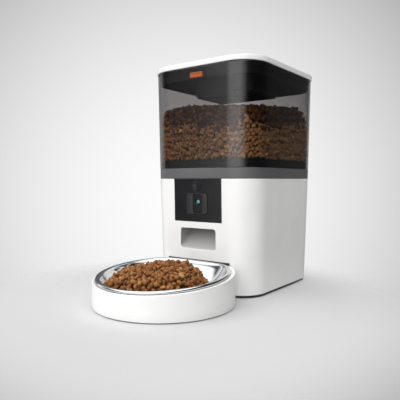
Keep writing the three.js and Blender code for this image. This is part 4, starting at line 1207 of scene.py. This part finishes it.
class FEEDER_OT_kibble(bpy.types.Operator):
    """Fills the hopper and the bowl with kibble"""
    bl_idname = "feeder.kibble"
    bl_label = "Kibble"

    def execute(self, context):
        settings = context.scene.feeder_kibble
        random = np.random.default_rng(settings.seed)
        self.radius = settings.diameter / 2
        self.hopper(settings, random, context.scene.feeder_sizes.hopper_wall)
        self.bowl(settings, random)
        return {"FINISHED"}

    def heap(self, settings, x, y):
        """The hopper's heap. Its level at the front and right walls rises with the distance from
        the corner between them, and it rises further inwards by a smooth step, up to a cap.
        Towards the left wall it dips by the square of the way past the left shoulder."""
        half_x, half_y = body_half(settings.wall_level)
        from_right, from_front = half_x - x, y - BODY_Y + half_y
        inwards = np.clip(np.minimum(from_right, from_front) / HEAP_SHOULDER, 0, 1)
        past = np.maximum(1 - (half_x + x) / LEFT_SHOULDER, 0)
        level = settings.wall_level + 0.08 * from_right + 0.1 * from_front - LEFT_DIP * past ** 2
        return np.minimum(level + settings.crown * inwards ** 2 * (3 - 2 * inwards),
                          settings.wall_level + HEAP_CAP)

    def hopper(self, settings, random, wall):
        """Rows of kibble along the walls up to the heap's edge, then a few layers over its top.
        A row rises and falls by two slow waves of its own, so that no row shows as a line."""
        r = self.radius
        centres = []
        for row, level in enumerate(np.arange(box("hopper_funnel")[1][2] + 0.9 * r,
                                              settings.wall_level + HEAP_CAP, ROW_STEP * r)):
            for layer, off in enumerate(LAYERS):
                line = around_wall(wall + off * r, level, PIECE_STEP * r,
                                   0.5 * ((row + layer) % 2))
                way = np.arange(len(line))[:, None] * (0.23, 0.61)
                waves = np.sin(way + random.uniform(0, 2 * np.pi, 2)).sum(axis=1)
                line = line + random.normal(0, 0.2 * r, line.shape) * (1, 1, 2)
                line[:, 2] = np.maximum(line[:, 2] + 0.45 * r * waves, level - row * ROW_STEP * r)
                centres.append(line[line[:, 2] < self.heap(settings, line[:, 0], line[:, 1])])
        by_wall = np.concatenate(centres)
        centres = []
        half_x, half_y = body_half(settings.wall_level)
        step = 1.9 * r
        for layer in range(2):
            x, y = np.meshgrid(np.arange(-half_x, half_x, step) + layer * step / 2,
                               np.arange(-half_y, half_y, step) + layer * step / 2)
            x, y = (a.ravel() + random.normal(0, 0.36 * r, a.size) for a in (x, y))
            clear = CORNER - wall - 1.2 * r
            beyond = np.hypot(np.maximum(np.abs(x) - (half_x - CORNER), 0),
                              np.maximum(np.abs(y) - (half_y - CORNER), 0))
            x, y = x[beyond < clear], y[beyond < clear] + BODY_Y
            z = self.heap(settings, x, y) - layer * 1.3 * r
            centres.append(np.stack([x, y, z + random.normal(0, 0.3 * r, len(x))], axis=-1))
        # Painted shade: the layers over the heap's top take a far darker tone than the rows at the
        # wall, for the shade they lie in.
        for name, places, tone in (
                ("hopper_kibble_side", by_wall, 1.0),
                ("hopper_kibble_top", np.concatenate(centres), 0.12)):
            radii = r * random.uniform(0.84, 1.1, len(places))
            # Painted light: the pieces grow paler towards the wall on +x.
            painted_light_right = 1 + PAINTED_LIGHT_SIDE * np.clip(places[:, 0] / half_x, 0, 1)
            scattered(name, places, radii, random, "hopper", tone * painted_light_right)
        self.core(settings, wall)

    def core(self, settings, wall):
        """The kibble behind the first layers: the heap's shape, drawn in, as one rough solid.
        Its sides run up to the heap's edge, and its top follows the heap to the middle."""
        r = self.radius
        low = box("hopper_funnel")[1][2] - 6 * MM
        inset = wall + 2.8 * r
        outline = body_rings([inset], [settings.wall_level])
        edge = self.heap(settings, outline[0, :, 0], outline[0, :, 1]) - 1.8 * r
        share = np.linspace(0, 1, 12)[:, None, None]
        sides = np.repeat(outline, 12, axis=0)
        sides[..., 2] = low + (edge - low) * share[..., 0]
        centre = np.array([0.0, BODY_Y, 0.0])
        top = centre + (outline - centre) * np.linspace(1, 0.02, 24)[1:, None, None]
        top[..., 2] = self.heap(settings, top[..., 0], top[..., 1]) - 1.8 * r
        points = capped(np.concatenate([sides, top]))
        shell("hopper_kibble_core", points, "hopper", None, finish="kibble_core")

    def bowl_heap(self, settings, x, y):
        """The bowl's heap over its rim plane: a low dome that falls away steeply at its edge."""
        off = np.hypot(x - HEAP_PLACE[0], y - HEAP_PLACE[1])
        edge = np.maximum(off / MM - HEAP_EDGE[0], 0) / HEAP_EDGE[1]
        tilt = HEAP_TILT[0] * (x - HEAP_PLACE[0]) + HEAP_TILT[1] * (y - HEAP_PLACE[1])
        return settings.bowl_heap * (1 - (off / BOWL_REACH) ** 2) + tilt - 27 * MM * edge ** 1.5

    def bowl(self, settings, random):
        """Layers of kibble down from the heap's surface, as far as the bowl's wall and floor."""
        r = self.radius
        step = 1.78 * r
        centres = []
        for layer in range(4):
            x, y = np.meshgrid(*[np.arange(-BOWL_REACH, BOWL_REACH, step)] * 2)
            x, y = (a.ravel() + layer % 2 * step / 2 + random.normal(0, 0.4 * r, a.size)
                    for a in (x, y))
            limit = flattened(np.arctan2(y, x), BOWL_RADIUS, BOWL_FLAT, D_SHARPNESS) / BOWL_RADIUS
            out = np.hypot(x, y) / limit
            floor = np.interp(out, *BOWL_INSIDE.T) + 0.85 * r
            z = self.bowl_heap(settings, x, y) - layer * 1.25 * r
            z += random.normal(0, 0.3 * r, len(x))
            inside = (out < BOWL_REACH - 0.9 * r) & (z > floor)
            centres.append(np.stack([x, y, z], axis=-1)[inside])
        centres = rim_frame(np.concatenate(centres))
        radii = r * random.uniform(0.84, 1.12, len(centres))
        scattered("bowl_kibble", centres, radii, random, "bowl", 0.5)
        self.bowl_core(settings)

    def bowl_core(self, settings):
        """What lies under the bowl's top layers: rings about the heap's middle that follow its
        surface inwards, closed by the bowl's floor."""
        reach = np.concatenate([[4, 50, 60, 62], np.linspace(60, 4, 12)]) * MM
        x = HEAP_PLACE[0] + reach[:, None] * np.cos(TURNS) * 0.92
        y = HEAP_PLACE[1] + reach[:, None] * np.sin(TURNS) * 0.92
        z = np.maximum(self.bowl_heap(settings, x, y) - 2.2 * self.radius, BOWL_FLOOR)
        z[:3] = BOWL_FLOOR
        points = rim_frame(np.stack([x, y, z], axis=-1))
        shell("bowl_kibble_core", capped(points), "bowl", None, finish="kibble_core")


# ---------------------------------------------------------------- pieces kept from the frame

class FEEDER_OT_inner_parts(bpy.types.Operator):
    """Gives every piece kept from the frame the finish of its material slot"""
    bl_idname = "feeder.inner_parts"
    bl_label = "Inner Parts"

    def execute(self, context):
        slots = {part["node"]: part["material_slot"] for part in frame["record"]["subparts"]}
        for node, thing in frame["nodes"].items():
            thing.data.materials.clear()
            thing.data.materials.append(finish_for(slots[node]))
        return {"FINISHED"}


# ---------------------------------------------------------------- studio

CAMERA_PLACE = (407.28 * MM, -571.42 * MM, 162.29 * MM)
CAMERA_AZIMUTH = math.radians(36.32)
CAMERA_PITCH = math.radians(2.33)
CAMERA_LENS, CAMERA_SENSOR = 42.87, 36.0  # in millimetres
BACKDROP_MIDDLE = (-0.615, 0.787, -0.04)  # the direction in which the backdrop is brightest
# Brightness round the set near eye level, by the angle from straight in front towards +x.
CARDS = ((-180, 0.3), (-150, 0.15), (-128, 0.12), (-120, 0.25), (-98, 0.25), (-88, 1.2),
         (-79, 0.7), (-68, 0.12), (-43, 0.12), (-37, 0.3), (-25, 1.45), (-10, 1.7), (20, 1.7),
         (38, 0.8), (50, 0.1), (60, 0.02), (120, 0.03), (150, 0.05), (180, 0.3))
CEILING_LEAN = 0.5  # how much lower the ceiling hangs in front than behind
CEILING_EDGE = (0.58, 0.75)  # the heights between which the cards give way to the ceiling
LOWER_EDGE = (-0.45, -0.12)  # the heights between which the floor's light gives way to the cards
BACKDROP = (0.85, 1.0, 0.48, 0.98)  # nearness to its middle, and the brightness at those


class FEEDER_OT_studio(bpy.types.Operator):
    """Makes the pale floor, the soft lights, the even surroundings and the camera"""
    bl_idname = "feeder.studio"
    bl_label = "Studio"

    def execute(self, context):
        studio = context.scene.feeder_studio
        self.floor(studio)
        self.room(context.scene, studio)
        camera = bpy.data.cameras.new("camera")
        camera.lens = CAMERA_LENS
        camera.sensor_width = CAMERA_SENSOR
        eye = bpy.data.objects.new("camera", camera)
        eye.location = CAMERA_PLACE
        eye.rotation_euler = (math.pi / 2 - CAMERA_PITCH, 0.0, CAMERA_AZIMUTH)
        context.scene.collection.objects.link(eye)
        context.scene.camera = eye
        context.scene.view_settings.view_transform = "Standard"
        return {"FINISHED"}

    def floor(self, studio):
        """A wide disc, level with the feet: rings at four radii and a middle point."""
        reach = np.array([2.0, 1.0, 0.5, 0.25])
        points = turned(np.stack([reach, 0 * reach], axis=1))
        points = np.concatenate([points, 0 * points[:1]])
        mesh = bpy.data.meshes.new("floor")
        mesh.from_pydata(points.reshape(-1, 3).tolist(), [],
                         grid_faces(*points.shape[:2]).tolist())
        paint = bpy.data.materials.new("painted studio floor")
        studio_floor(Finish(paint), studio.floor_colour, studio.floor_reach)
        floor = placed("floor", mesh, paint)

    def room(self, scene, studio):
        """Surroundings. What the camera sees is a pale backdrop, brightest behind the feeder and
        a little darker further out. What lights the feeder is a ring of white cards and dark
        gaps, given by direction, with a soft ceiling above and the pale floor below."""
        scene.world = bpy.data.worlds.new("room")
        world = Finish(scene.world, "Generated")
        add = world.add
        x, y, z = add("SeparateXYZ").node.outputs
        forwards = add("Math", [y, -1.0], operation="MULTIPLY")
        turn = add("Math", [x, forwards], operation="ARCTAN2")
        cards = add("ValToRGB", [add("MapRange", [turn, -math.pi, math.pi])], stops=[
            (angle / 360 + 0.5, (*[level / 2] * 3, 1.0)) for angle, level in CARDS])
        side = add("Math", [cards, 2 * studio.cards], operation="MULTIPLY")
        overhead = add("Math", [forwards, CEILING_LEAN, z], operation="MULTIPLY_ADD")
        rise = add("MapRange", [overhead, *CEILING_EDGE], interpolation_type="SMOOTHSTEP")
        above = add("Mix", {"Factor": rise, "A": side, "B": studio.ceiling})
        rise = add("MapRange", [z, *LOWER_EDGE], interpolation_type="SMOOTHSTEP")
        level = add("Mix", {"Factor": rise, "A": studio.lower, "B": above})
        near = add("VectorMath", {1: BACKDROP_MIDDLE}, out="Value", operation="DOT_PRODUCT")
        light, seen = (add("Background", {"Color": (1, 1, 1, 1), "Strength": strength})
                       for strength in (level, add("MapRange", [near, *BACKDROP])))
        add("OutputWorld", [add("MixShader", [add("LightPath"), light, seen])])


# ---------------------------------------------------------------- panel and registration

class FEEDER_PT_panel(bpy.types.Panel):
    """Lists the steps that build the feeder, and the sizes that they use"""
    bl_idname = "FEEDER_PT_panel"
    bl_label = "Pet Feeder"
    bl_space_type = "VIEW_3D"
    bl_region_type = "UI"
    bl_category = "Feeder"

    def draw(self, context):
        for group in GROUPS:
            settings = getattr(context.scene, group)
            column = self.layout.box()
            for name in settings.bl_rna.properties.keys():
                if name not in ("rna_type", "name"):
                    column.prop(settings, name)
        for operator in OPERATORS:
            self.layout.operator(operator.bl_idname)


GROUPS = {"feeder_sizes": FeederSizes, "feeder_kibble": FeederKibble,
          "feeder_studio": FeederStudio}
OPERATORS = (FEEDER_OT_inner_parts, FEEDER_OT_housing, FEEDER_OT_chute, FEEDER_OT_camera_panel,
             FEEDER_OT_hopper, FEEDER_OT_lid, FEEDER_OT_tray, FEEDER_OT_bowl, FEEDER_OT_kibble,
             FEEDER_OT_studio)


def register():
    for cls in (*GROUPS.values(), *OPERATORS, FEEDER_PT_panel):
        bpy.utils.register_class(cls)
    for name, cls in GROUPS.items():
        setattr(bpy.types.Scene, name, bpy.props.PointerProperty(type=cls))


def unregister():
    for name in GROUPS:
        delattr(bpy.types.Scene, name)
    for cls in reversed((*GROUPS.values(), *OPERATORS, FEEDER_PT_panel)):
        bpy.utils.unregister_class(cls)


def main():
    register()
    for operator in OPERATORS:
        group, name = operator.bl_idname.split(".")
        getattr(getattr(bpy.ops, group), name)()


if __name__ == "__main__":
    main()
